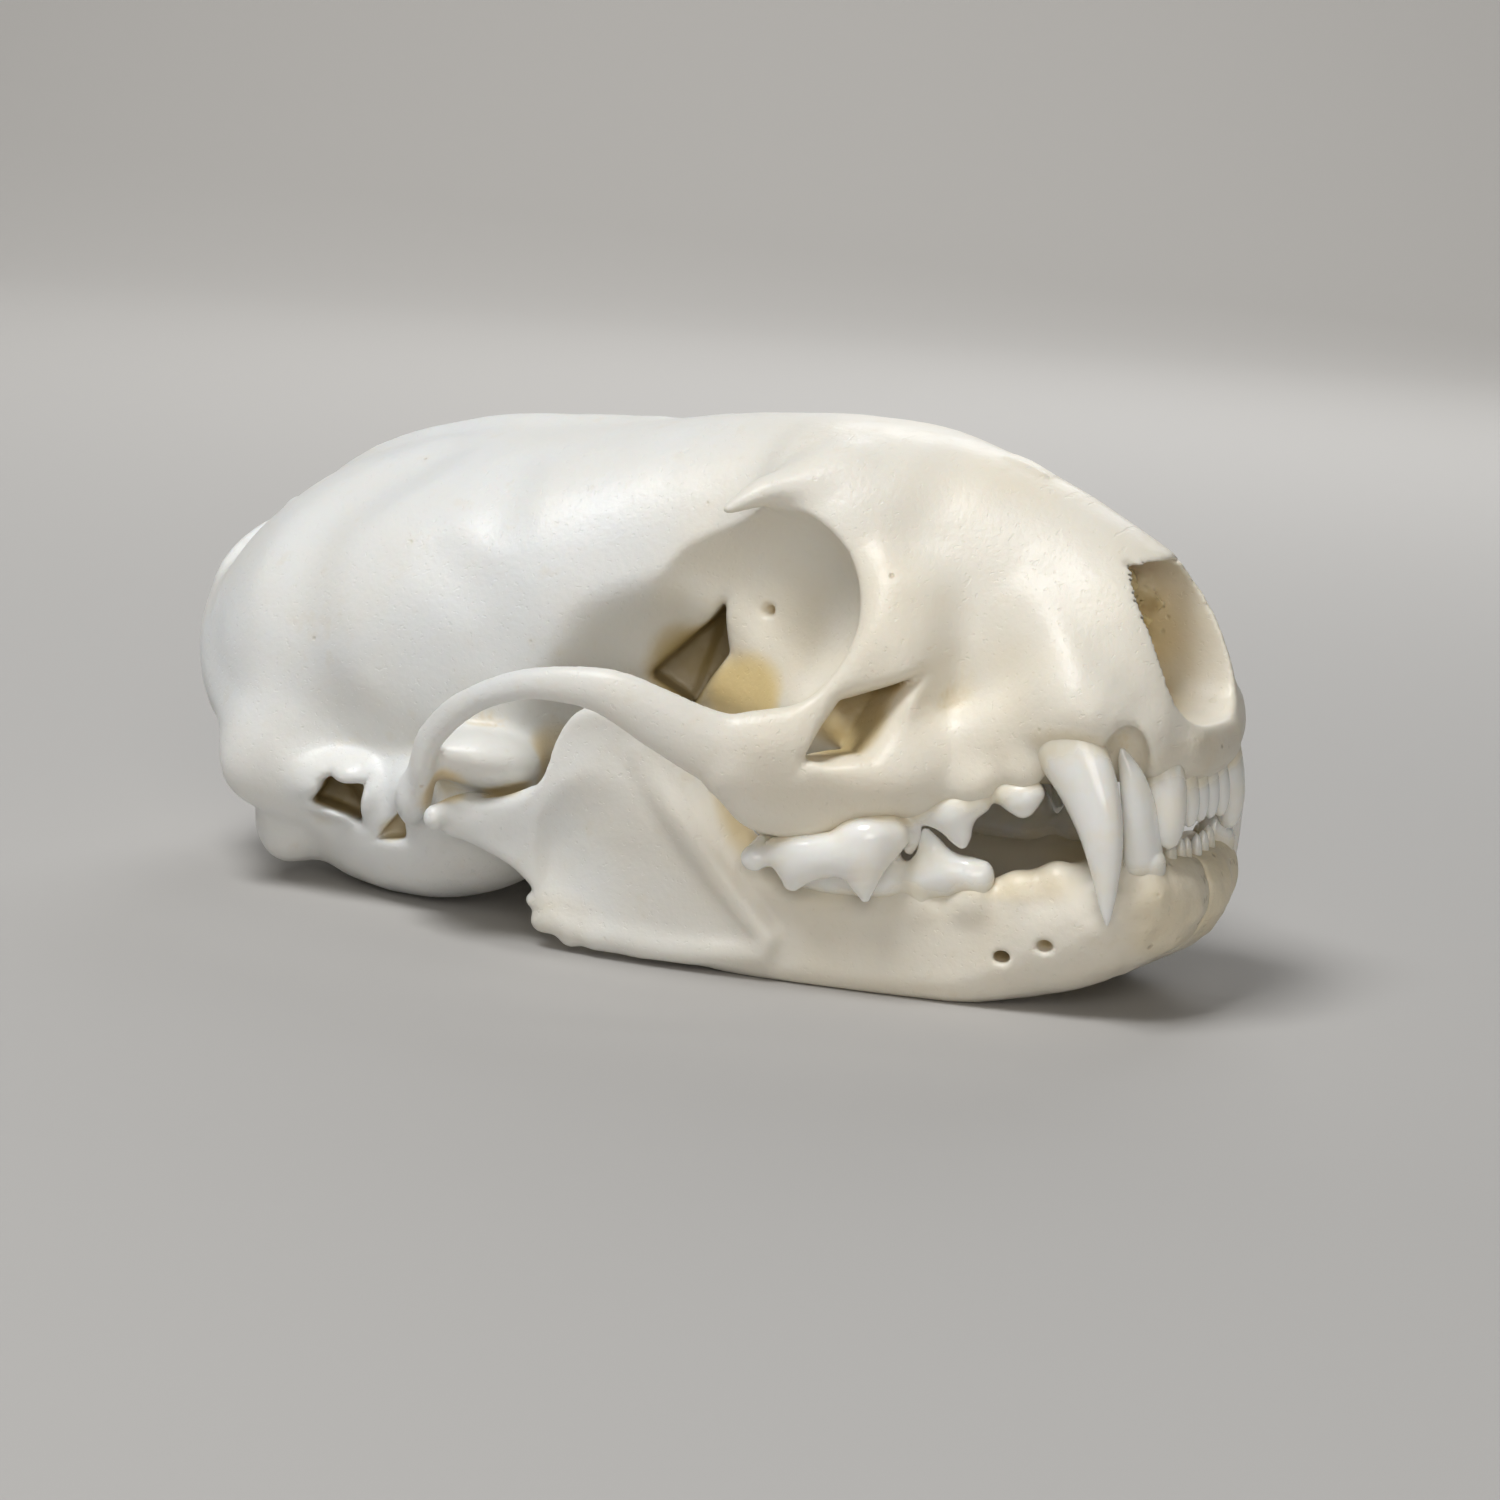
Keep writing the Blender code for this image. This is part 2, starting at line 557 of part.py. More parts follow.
def blade(name, rear, front, gum, width, edge, sides=12):
    """Crown that narrows from an oval base to a cusped edge: z = gum + (edge - gum) * v on ring v."""
    rear, front = np.array(rear), np.array(front)
    along = front - rear
    across = np.array([-along[1], along[0]]) / np.linalg.norm(along)
    turn = np.linspace(0, 2 * math.pi, sides, endpoint=False)
    share = 0.5 + 0.5 * np.cos(turn)
    shares, heights = np.transpose(edge)
    tip = np.interp(share, shares, heights)
    rootward = math.copysign(ROOT_DEPTH, gum - heights.mean())
    rings = []
    for level, thick in ((None, 0.8),) + BLADE_LEVELS:
        place = rear + share[:, None] * along + (width * thick * np.sin(turn))[:, None] * across
        height = np.full(sides, gum + rootward) if level is None else gum + (tip - gum) * level
        rings.append(np.column_stack([place, height]))
    return loft(name, np.array(rings))


def tooth_row(fangs, blades, lost=()):
    pieces = [fang(name, sizes) for name, sizes in fangs.items()]
    pieces += [blade(name, *sizes) for name, sizes in blades.items() if name not in lost]
    return pieces


def parted(body, name, regions, gap=NODE_GAP):
    """Splits a body by a group of boxes, half the gap to each side. Gives what is inside and what is outside."""
    inside = copy_of(body, name)
    outside = body
    shrunk = [block("shrunk", *grown(region, -gap / 2)) for region in regions]
    swollen = [block("swollen", *grown(region, gap / 2)) for region in regions]
    first = shrunk.pop()
    first = combine(first, "UNION", shrunk)
    inside = combine(inside, "INTERSECT", [first])
    outside = combine(outside, "DIFFERENCE", swollen)
    return keep_largest(inside), keep_largest(outside)


def grown(region, by):
    low, high = region
    return [c - by for c in low], [c + by for c in high]


def other_side(region):
    low, high = region
    return (-high[0], low[1], low[2]), (-low[0], high[1], high[2])


def cheek_joint_sockets():
    """Room for the knobs of the lower jaw under the roots of the cheek arches."""
    rows = [(x, y, z, thick + NODE_GAP, high + NODE_GAP) for x, y, z, thick, high in JAW_JOINT_ROWS]
    return both_sides(bar("socket", rows))


def cranium_nodes():
    """The cranium parted into cheek arches, ear capsules, face and braincase, with the upper teeth in the face."""
    nodes = {}
    body = combine(cranium_whole(), "DIFFERENCE", cheek_joint_sockets())
    for name, regions in (("zygomatic_arch", ARCH_REGION), ("bulla", BULLA_REGION)):
        nodes[name + "_right"], body = parted(body, name + "_right", regions)
        nodes[name + "_left"], body = parted(body, name + "_left", [other_side(r) for r in regions])
    nodes["face"], nodes["braincase"] = parted(body, "face", FACE_REGION)
    notch = fang("notch", LOWER_FANGS["canine"], NODE_GAP)
    face = combine(nodes["face"], "DIFFERENCE", both_sides(notch))
    teeth = [copy for tooth in tooth_row(UPPER_FANGS, UPPER_BLADES) for copy in both_sides(tooth)]
    nodes["face"] = keep_largest(combine(face, "UNION", teeth))
    return nodes


def jaw_nodes():
    """Both halves of the lower jaw with their teeth. The right one has lost two small teeth."""
    right = jaw_bone()
    left = mirrored(right, "mandible_left")
    right_teeth = tooth_row(LOWER_FANGS, LOWER_BLADES, LOST_ON_THE_RIGHT)
    left_teeth = []
    for tooth in tooth_row(LOWER_FANGS, LOWER_BLADES):
        left_teeth.append(mirrored(tooth, tooth.name + "_left"))
        bpy.data.objects.remove(tooth)
    return {
        "mandible_right": keep_largest(combine(right, "UNION", right_teeth)),
        "mandible_left": keep_largest(combine(left, "UNION", left_teeth)),
    }


def main():
    clear_scene()
    skull = bpy.data.collections.new("weasel_skull")
    bpy.context.scene.collection.children.link(skull)
    nodes = cranium_nodes() | jaw_nodes()
    for name in RESTING_NODES:
        floor = block("floor", (-FAR, -FAR, -FAR), (FAR, FAR, 0.0))
        nodes[name] = keep_largest(combine(nodes[name], "DIFFERENCE", [floor]))
    material = bone_material()
    for name, node in nodes.items():
        node.name = name
        node.data.transform(Matrix.Translation((0, LENGTH_SHIFT * MM, 0)))
        node.data.materials.clear()
        node.data.materials.append(material)
        for home in list(node.users_collection):
            home.objects.unlink(node)
        skull.objects.link(node)


main()
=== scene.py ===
"""Weasel skull with its lower jaw shut, life size and still: the looks, put together from the cranium down.

Everything is worked out in millimetres on the drawing of the solids, with the skull's own right side at -X and the
nose pointing to -Y. Bones and teeth are surfaces of signed distance fields: grids of numbers, negative inside.
"""

import math

import bpy
import numpy as np
from mathutils import Matrix, Vector


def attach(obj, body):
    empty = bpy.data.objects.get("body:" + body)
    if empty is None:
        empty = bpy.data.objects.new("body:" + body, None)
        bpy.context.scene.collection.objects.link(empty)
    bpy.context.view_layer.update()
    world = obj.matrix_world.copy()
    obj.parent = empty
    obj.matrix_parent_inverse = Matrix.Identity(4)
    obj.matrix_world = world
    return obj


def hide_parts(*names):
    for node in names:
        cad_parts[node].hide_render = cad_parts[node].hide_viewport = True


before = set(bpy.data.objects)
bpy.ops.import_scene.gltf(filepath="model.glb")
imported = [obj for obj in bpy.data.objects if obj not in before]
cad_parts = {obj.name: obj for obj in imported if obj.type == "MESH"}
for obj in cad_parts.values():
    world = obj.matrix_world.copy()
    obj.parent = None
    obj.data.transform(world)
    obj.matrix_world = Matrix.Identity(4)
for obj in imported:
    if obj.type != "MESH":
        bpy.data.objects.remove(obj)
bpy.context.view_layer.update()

# Cranium: one bone shell from the incisor bone to the nape, thin walled at its openings, cleaned and bleached. It is
# made as a distance field for the right half, mirrored, roughened a little and given a surface.

# metres to a millimetre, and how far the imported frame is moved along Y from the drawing
MM = 0.001
LENGTH_SHIFT = 1.8
# what a grid holds where nothing is near, and how far above the floor the bone stops
OPEN_SPACE = 2.5
FLOOR_LEVEL = 0.01
CRANIUM_GRID = 0.13
CRANIUM_TRIANGLES = 190000
# depth, cell size and seed of the two layers that roughen the bone
CRANIUM_ROUGHNESS = ((0.05, 2.6, 3), (0.02, 0.9, 4))


def curve(rows, steps=6):
    """Catmull-Rom curve: a cubic between each two rows, whose slope at a row is half the step between its neighbours.
    It gives steps rows for each gap."""
    rows = np.asarray(rows, float)
    before = np.vstack([2 * rows[0] - rows[1], rows[:-1]])
    after = np.vstack([rows[1:], 2 * rows[-1] - rows[-2]])
    slopes = (after - before) / 2
    t = np.linspace(0, 1, steps, endpoint=False)[None, :, None]
    a, b, slope_a, slope_b = rows[:-1, None], rows[1:, None], slopes[:-1, None], slopes[1:, None]
    bends = (2 * t**3 - 3 * t**2 + 1) * a + (t**3 - 2 * t**2 + t) * slope_a
    bends = bends + (3 * t**2 - 2 * t**3) * b + (t**3 - t**2) * slope_b
    return np.vstack([bends.reshape(-1, rows.shape[1]), rows[-1:]])


class Field:
    """Signed distance on a grid, negative inside. Pieces are joined or cut with a soft edge of a given width."""

    def __init__(self, low, high, step):
        self.low, self.step = np.array(low, float), step
        counts = np.ceil((np.array(high) - self.low) / step).astype(int) + 1
        self.value = np.full(counts, OPEN_SPACE, np.float32)

    def window(self, low, high):
        """The part of the grid between two corners, and the x, y and z of its nodes"""
        start = np.clip(np.floor((np.array(low) - self.low) / self.step).astype(int), 0, self.value.shape)
        stop = np.clip(np.ceil((np.array(high) - self.low) / self.step).astype(int) + 1, 0, self.value.shape)
        part = tuple(slice(a, b) for a, b in zip(start, stop))
        x, y, z = (self.low[i] + self.step * np.arange(start[i], stop[i], dtype=np.float32) for i in range(3))
        return part, (x[:, None, None], y[None, :, None], z[None, None, :])

    def join(self, distance, soft):
        """The smaller of a and b, less (k - |a - b|)^2 / 4k where they are closer than the soft width k"""
        part, values = distance(self)
        old = self.value[part]
        bend = np.maximum(soft - np.abs(old - values), 0) ** 2 / (4 * soft)
        self.value[part] = np.minimum(old, values) - bend

    def cut(self, distance, soft):
        """The larger of a and -b, plus (k - |a + b|)^2 / 4k where they are closer than the soft width k"""
        part, values = distance(self)
        old = self.value[part]
        bend = np.maximum(soft - np.abs(old + values), 0) ** 2 / (4 * soft)
        self.value[part] = np.maximum(old, -values) + bend


def turned(x, y, z):
    """Rotation by angles in degrees about X, then Y, then Z"""
    parts = (Matrix.Rotation(math.radians(angle), 3, axis) for angle, axis in ((z, "Z"), (y, "Y"), (x, "X")))
    first, second, third = parts
    return np.array(first @ second @ third, dtype=np.float32)


def facing(first, second):
    """Rotation whose first axis is along first and whose second axis is as near second as it can be"""
    first = np.array(first) / np.linalg.norm(first)
    second = np.array(second) - first * (first @ np.array(second))
    second /= np.linalg.norm(second)
    return np.column_stack([first, second, np.cross(first, second)]).astype(np.float32)


UPRIGHT = np.eye(3, dtype=np.float32)


def oval(centre, radii, rotation=UPRIGHT, spread=1.5):
    """Ellipsoid: d = k0 (k0 - 1) / k1 with k0 = |p / r| and k1 = |p / r^2|"""
    centre, radii = np.array(centre, float), np.array(radii, float)

    def distance(field):
        reach = np.sqrt((rotation**2) @ (radii**2)) + spread
        part, (x, y, z) = field.window(centre - reach, centre + reach)
        x, y, z = x - centre[0], y - centre[1], z - centre[2]
        own = [rotation[0, i] * x + rotation[1, i] * y + rotation[2, i] * z for i in range(3)]
        k0 = np.sqrt(sum((p / r) ** 2 for p, r in zip(own, radii)))
        k1 = np.sqrt(sum((p / r**2) ** 2 for p, r in zip(own, radii)))
        return part, (k0 * (k0 - 1) / np.maximum(k1, 1e-6)).astype(np.float32)

    return distance


def bar(rows, steps=4, spread=1.5):
    """Bar along a path of x, y, z, half thickness, half height: d = r (1 - 1 / q), q the offset in oval units"""
    rows = curve(rows, steps)

    def distance(field):
        wide = rows[:, 3:5].max(axis=1, keepdims=True) + spread
        part, (x, y, z) = field.window((rows[:, :3] - wide).min(axis=0), (rows[:, :3] + wide).max(axis=0))
        best = None
        for a, b in zip(rows[:-1], rows[1:]):
            way = b[:3] - a[:3]
            length = np.linalg.norm(way)
            if length < 1e-6:
                continue
            along = way / length
            across = np.cross(along, (0, 0, 1.0)) if abs(along[2]) < 0.97 else np.array([1.0, 0, 0])
            across -= along * (across @ along)
            across /= np.linalg.norm(across)
            rise = np.cross(across, along)
            px, py, pz = x - a[0], y - a[1], z - a[2]
            t = np.clip((px * along[0] + py * along[1] + pz * along[2]) / length, 0, 1)
            px, py, pz = px - t * way[0], py - t * way[1], pz - t * way[2]
            thick = a[3] + t * (b[3] - a[3])
            high = a[4] + t * (b[4] - a[4])
            u = (px * across[0] + py * across[1] + pz * across[2]) / thick
            v = (px * rise[0] + py * rise[1] + pz * rise[2]) / high
            w = (px * along[0] + py * along[1] + pz * along[2]) / np.minimum(thick, high)
            q = np.maximum(np.sqrt(u * u + v * v + w * w), 1e-3)
            reach = np.sqrt(px * px + py * py + pz * pz)
            value = (reach * (1 - 1 / q)).astype(np.float32)
            value = np.where(q < 0.02, -np.minimum(thick, high), value).astype(np.float32)
            best = value if best is None else np.minimum(best, value)
        return part, best

    return distance


def sections(rows, steps=8, spread=2.5):
    """Loft of superellipses across y: d = r (1 - 1 / q), q = (|x / w|^e + |z / h|^e)^(1/e)"""
    rows = curve(rows, steps)

    def distance(field):
        wide = rows[:, 1].max() + spread
        low = (-wide, rows[0, 0] - spread, rows[:, 2].min() - spread)
        high = (wide, rows[-1, 0] + spread, rows[:, 4].max() + spread)
        part, (x, y, z) = field.window(low, high)
        width, bottom, middle, top, up, down = (np.interp(y, rows[:, 0], rows[:, i]) for i in range(1, 7))
        above = z >= middle
        height = np.where(above, top - middle, middle - bottom)
        power = np.where(above, up, down)
        q = (np.abs(x / width) ** power + np.abs((z - middle) / height) ** power) ** (1 / power)
        q = np.maximum(q, 1e-3)
        reach = np.sqrt(x * x + (z - middle) ** 2)
        value = reach * (1 - 1 / q)
        ends = np.maximum(rows[0, 0] - y, y - rows[-1, 0])
        bend = np.maximum(0.8 - np.abs(value - ends), 0) ** 2 / 3.2
        return part, (np.maximum(value, ends) + bend).astype(np.float32)

    return distance


def wedge(corners, way, depth):
    """Prism on three corners along way: d = max of the distances to its three sides and its two ends"""
    corners = np.array(corners, float)
    way = np.array(way) / np.linalg.norm(way)
    middle = corners.mean(axis=0)

    def distance(field):
        reach = np.abs(corners - middle).max() + depth + 1
        part, (x, y, z) = field.window(middle - reach, middle + reach)
        value = np.abs((x - middle[0]) * way[0] + (y - middle[1]) * way[1] + (z - middle[2]) * way[2]) - depth
        for a, b in zip(corners, np.roll(corners, -1, axis=0)):
            out = np.cross(b - a, way)
            out *= -math.copysign(1, out @ (middle - a)) / np.linalg.norm(out)
            value = np.maximum(value, (x - a[0]) * out[0] + (y - a[1]) * out[1] + (z - a[2]) * out[2])
        return part, value.astype(np.float32)

    return distance


CRANIUM_SECTIONS = (
    (-22.1, 2.2, 8.6, 9.4, 11.0, 2.0, 2.0),
    (-21.4, 3.3, 8.4, 9.6, 13.4, 2.1, 2.2),
    (-20.3, 4.0, 8.1, 9.8, 15.3, 2.1, 2.3),
    (-18.8, 4.4, 7.9, 10.0, 16.4, 2.0, 2.4),
    (-16.5, 4.6, 7.4, 10.2, 17.5, 1.9, 2.4),
    (-14.0, 4.9, 6.9, 11.0, 18.4, 2.0, 2.4),
    (-12.3, 5.2, 6.6, 11.8, 18.85, 2.1, 2.4),
    (-11.0, 5.9, 6.3, 12.5, 19.1, 2.3, 2.4),
    (-9.5, 6.3, 6.0, 13.2, 19.25, 2.5, 2.4),
    (-8.0, 6.2, 5.8, 13.8, 19.3, 2.6, 2.4),
    (-6.5, 5.7, 5.5, 13.5, 19.3, 2.5, 2.4),
    (-5.0, 5.1, 5.2, 13.0, 19.2, 2.3, 2.3),
    (-2.0, 6.2, 4.6, 11.8, 18.9, 2.1, 2.3),
    (1.0, 7.9, 4.0, 10.8, 18.35, 2.0, 2.3),
    (5.0, 9.2, 3.5, 10.0, 17.7, 2.0, 2.4),
    (9.0, 9.7, 3.2, 9.3, 17.1, 2.0, 2.5),
    (13.0, 9.4, 3.1, 8.6, 15.9, 2.0, 2.5),
    (15.6, 8.1, 3.3, 8.2, 14.3, 2.0, 2.4),
    (17.4, 6.3, 4.0, 8.0, 12.4, 2.0, 2.3),
    (18.5, 3.8, 5.4, 8.2, 10.6, 2.0, 2.0),
)
NOSE_SECTIONS = (
    (-25.0, 2.6, 10.4, 12.9, 15.6, 3.0, 3.0),
    (-19.5, 2.6, 10.4, 12.9, 15.7, 3.0, 3.0),
    (-15.0, 2.4, 10.6, 13.0, 15.6, 2.6, 2.6),
    (-12.0, 1.8, 11.2, 13.2, 15.0, 2.2, 2.2),
)

half = Field((-14.0, -23.6, -0.6), (0.6, 20.6, 20.4), CRANIUM_GRID)
half.join(sections(CRANIUM_SECTIONS), 0.1)
# flare of the upper jaw in front of the eye socket, then the socket and the hollow below and behind it
half.join(bar(((-4.9, -12.4, 13.6, 1.2, 1.2), (-5.6, -12.6, 12.2, 1.3, 1.3), (-6.3, -12.4, 10.6, 1.5, 1.5))), 1.8)
half.cut(oval((-9.6, -7.0, 13.0), (6.3, 5.4, 4.6)), 0.15)
half.cut(oval((-9.2, -4.6, 10.2), (5.5, 4.8, 4.0)), 0.7)
half.cut(oval((-8.6, -3.6, 7.4), (5.4, 5.0, 4.0)), 0.8)

for rows, soft in (
    # tooth ridge
    (((-3.7, -20.5, 10.2, 0.9, 1.0), (-4.2, -18.9, 10.9, 1.3, 1.35), (-4.6, -16.8, 9.7, 0.95, 1.2),
      (-5.2, -14.8, 8.7, 0.9, 1.2), (-6.2, -12.9, 7.8, 1.2, 1.4), (-7.2, -10.6, 6.8, 1.2, 1.4),
      (-7.0, -8.9, 6.2, 1.1, 1.2)), 1.2),
    # bulge over the root of the canine tooth
    (((-4.4, -18.8, 10.5, 0.95, 1.2), (-4.0, -17.9, 12.0, 0.6, 0.9), (-3.1, -16.4, 13.6, 0.5, 0.6)), 1.5),
    # bone that holds the incisors
    (((-3.0, -21.2, 9.8, 0.5, 0.8), (-1.6, -21.6, 9.45, 0.5, 0.85), (0.3, -21.75, 9.35, 0.5, 0.85)), 1.0),
    # cheek arch
    (((-7.2, -11.6, 8.2, 1.3, 1.6), (-8.6, -10.2, 8.3, 0.9, 1.55), (-9.9, -8.3, 8.5, 0.7, 1.3),
      (-11.0, -6.4, 9.4, 0.55, 1.05), (-11.8, -4.6, 10.2, 0.5, 0.8), (-12.3, -2.6, 10.25, 0.42, 0.6),
      (-12.4, -0.6, 9.75, 0.4, 0.5), (-12.15, 1.3, 8.7, 0.37, 0.52), (-11.7, 2.8, 7.3, 0.35, 0.6),
      (-11.15, 3.5, 6.0, 0.36, 0.7), (-10.5, 4.2, 4.8, 0.42, 0.6)), 0.5),
    # root of the arch behind the hinge
    (((-10.6, 4.1, 5.0, 0.5, 0.75), (-9.7, 4.8, 4.5, 0.6, 0.9), (-8.3, 5.2, 4.6, 1.1, 1.1)), 0.7),
    # rim in front of the eye socket, over the nerve hole
    (((-9.4, -9.4, 9.0, 0.45, 0.75), (-8.5, -10.6, 9.7, 0.42, 0.6), (-7.7, -11.5, 10.9, 0.42, 0.55),
      (-6.8, -12.0, 12.3, 0.5, 0.55), (-5.9, -11.9, 13.8, 0.5, 0.5), (-5.1, -11.4, 14.8, 0.4, 0.4)), 1.0),
    # process over the eye socket
    (((-3.6, -8.8, 17.6, 1.0, 0.9), (-5.0, -7.8, 17.3, 0.9, 0.7), (-6.2, -6.9, 16.95, 0.65, 0.48),
      (-7.15, -6.15, 16.35, 0.22, 0.16)), 0.8),
    # foot of the cheek
    (((-9.6, -8.7, 7.7, 0.55, 1.0), (-8.9, -9.4, 6.7, 0.6, 1.0), (-7.7, -10.4, 6.4, 0.8, 0.9)), 0.7),
    # nape crest
    (((0.0, 17.9, 12.6, 0.3, 0.4), (-2.2, 18.2, 11.8, 0.3, 0.45), (-4.6, 18.0, 10.2, 0.28, 0.5),
      (-6.8, 16.1, 8.1, 0.3, 0.55), (-8.4, 14.1, 6.1, 0.35, 0.6), (-9.2, 12.6, 4.7, 0.45, 0.7)), 1.3),
    # crest along the middle
    (((0.0, 1.5, 17.7, 0.2, 0.2), (0.0, 4.5, 17.6, 0.3, 0.3), (0.0, 9.0, 17.0, 0.28, 0.4),
      (0.0, 14.0, 15.3, 0.28, 0.45), (0.0, 17.9, 12.8, 0.28, 0.35)), 1.2),
    # wing of the hard palate
    (((-2.6, -7.0, 5.6, 0.6, 0.9), (-2.4, -4.0, 5.0, 0.4, 1.1), (-2.3, -1.5, 4.2, 0.3, 0.9),
      (-2.5, 0.4, 3.1, 0.22, 0.4)), 0.5),
):
    half.join(bar(rows), soft)

for centre, radii, rotation, soft in (
    # ear capsule, with the short tube of the ear
    ((-5.6, 7.4, 3.75), (3.4, 7.0, 3.75), turned(-3, 0, -8), 0.5),
    ((-8.7, 8.3, 4.4), (1.35, 1.6, 1.35), UPRIGHT, 0.5),
    # mastoid and the process beside the hole for the spinal cord
    ((-8.8, 11.5, 4.9), (1.3, 2.0, 2.1), turned(0, 0, 20), 1.9),
    ((-7.2, 12.1, 2.4), (1.4, 1.4, 1.8), UPRIGHT, 0.9),
    # roof of the hinge, and the joint knob of the neck
    ((-8.6, 2.4, 6.3), (2.3, 2.0, 1.1), turned(0, 12, 0), 1.1),
    ((-2.2, 17.3, 5.3), (1.0, 1.3, 1.9), turned(15, 38, 0), 0.7),
    # root of the cheek over the large tooth
    ((-6.3, -12.4, 8.4), (2.0, 2.4, 1.7), turned(0, 0, 25), 1.0),
):
    half.join(oval(centre, radii, rotation), soft)

# swellings over the roots of the cheek teeth
for tooth_x, tooth_y, tooth_z in ((-4.9, -15.8, 8.3), (-5.0, -17.4, 8.5), (-5.8, -13.9, 7.4), (-5.5, -15.7, 7.8)):
    half.join(oval((tooth_x, tooth_y, tooth_z), (0.5, 0.6, 0.6)), 0.9)

# shallow groove behind the swelling of the braincase, and the faint dents left by the temple muscle
half.cut(bar(((-5.1, 8.9, 17.5, 1.0, 1.0), (-7.0, 10.2, 16.2, 1.0, 1.0), (-8.6, 11.2, 14.6, 1.0, 1.0),
              (-10.2, 11.0, 12.4, 1.0, 1.0), (-10.9, 10.4, 10.3, 1.0, 1.0), (-11.0, 9.7, 8.5, 1.0, 1.0),
              (-10.7, 9.0, 6.9, 1.0, 1.0))), 2.0)
half.cut(bar(((-9.4, 4.7, 13.8, 0.6, 0.6), (-9.6, 2.5, 12.0, 0.6, 0.6), (-9.4, 1.6, 9.9, 0.6, 0.6))), 1.7)
half.cut(bar(((-5.8, 4.1, 17.5, 0.6, 0.6), (-8.1, 3.3, 15.5, 0.6, 0.6))), 1.6)
# pale flake on the bridge of the nose, and a pinhole beside it
half.join(bar(((-0.3, -13.3, 18.53, 0.25, 0.14), (-0.2, -14.1, 18.35, 0.3, 0.14),
               (-0.2, -14.9, 18.08, 0.2, 0.12))), 0.1)
half.cut(oval((-3.4, -9.96, 18.1), (0.24, 0.16, 0.2)), 0.05)
# opening of the nose, with a notch in its rim
half.cut(sections(NOSE_SECTIONS), 0.15)
half.cut(oval((-1.7, -19.45, 15.75), (0.25, 0.5, 0.3)), 0.1)
# pit for the tip of the lower canine tooth
half.cut(oval((-4.1, -20.75, 9.2), (1.0, 0.75, 1.4), turned(0, -12, 0)), 0.4)


def scrolls(field):
    """Folded bone sheets in the nose: d = |sin(pi p)| / (pi n) - t, with n sheets to a millimetre, t half a sheet's
    thickness and p = n times x bent by y and z. A wavy plane cuts them off in front."""
    part, (x, y, z) = field.window((-2.7, -19.4, 10.2), (0.6, -13.0, 15.9))
    sheets, half_sheet = 0.85, 0.09
    fold = sheets * (x + 0.28 * np.sin(2.1 * z + 0.7 * y) + 0.16 * np.sin(3.7 * y + 1.3 * z))
    leaf = np.abs(np.sin(math.pi * fold)) / (math.pi * sheets) - half_sheet
    front = -18.3 + 0.4 * np.sin(2.9 * z + 1.7 * x) + 0.2 * np.sin(7.1 * z - 3.0 * x) + 3 * np.maximum(z - 14.8, 0) - y
    return part, np.maximum(leaf, front).astype(np.float32)


half.join(scrolls, 0.15)
# hole for the spinal cord, and the channel of the nose behind the hard palate
half.cut(oval((0, 18.6, 6.9), (2.0, 3.4, 1.7)), 0.4)
half.cut(oval((0, -2.6, 4.6), (1.7, 4.6, 2.0), turned(8, 0, 0)), 0.5)
# ear opening and the gap in front of it
ear_way = (0.85, 0.5, -0.1)
half.cut(wedge(((-9.6, 9.5, 3.7), (-9.6, 8.6, 4.9), (-9.6, 7.3, 3.3)), ear_way, 3.2), 0.45)
half.cut(wedge(((-9.6, 8.8, 4.5), (-9.6, 7.0, 4.8), (-9.6, 7.3, 3.4)), ear_way, 3.2), 0.45)
half.cut(wedge(((-9.3, 6.6, 2.7), (-9.3, 5.5, 4.1), (-9.3, 5.3, 2.9)), ear_way, 1.4), 0.3)
# three-cornered opening at the back of the eye socket, and the small hole before it
half.cut(wedge(((-4.4, -4.5, 12.3), (-5.8, -2.4, 9.7), (-4.2, -3.3, 8.7)), (0.9, 0.43, -0.1), 3.6), 0.35)
half.cut(wedge(((-4.4, -4.5, 12.3), (-4.2, -3.3, 8.7), (-4.0, -4.7, 10.7)), (0.9, 0.43, -0.1), 3.6), 0.35)
half.cut(oval((-3.6, -5.9, 12.4), (0.9, 0.22, 0.22)), 0.08)
# nerve hole below the eye socket, with the hollow of the cheek before it
nerve_way = (0.68, 0.72, -0.14)
half.cut(wedge(((-8.35, -10.8, 8.6), (-7.7, -12.7, 8.75), (-6.6, -13.6, 11.2)), nerve_way, 3.0), 0.45)
half.cut(wedge(((-8.35, -10.8, 8.6), (-6.6, -13.6, 11.2), (-8.0, -11.9, 10.4)), nerve_way, 3.0), 0.45)
half.cut(oval((-8.0, -11.7, 9.15), (2.5, 1.0, 0.55), facing(nerve_way, (0.49, -0.6, 0.63))), 0.4)
half.cut(oval((-8.8, -15.0, 10.6), (1.5, 2.6, 2.2)), 1.9)


def noise(shape, step, cell, seed):
    """Smooth noise between -1 and 1: a seeded lattice of one value per cell, blended by cubic steps"""
    counts = [int(n * step / cell) + 3 for n in shape]
    lattice = np.random.default_rng(seed).uniform(-1, 1, counts).astype(np.float32)
    for axis, n in enumerate(shape):
        place = np.arange(n) * step / cell
        base = np.floor(place).astype(int)
        t = (place - base).astype(np.float32)
        t = t * t * (3 - 2 * t)
        view = [None, None, None]
        view[axis] = slice(None)
        t = t[tuple(view)]
        lattice = np.take(lattice, base, axis=axis) * (1 - t) + np.take(lattice, base + 1, axis=axis) * t
    return lattice


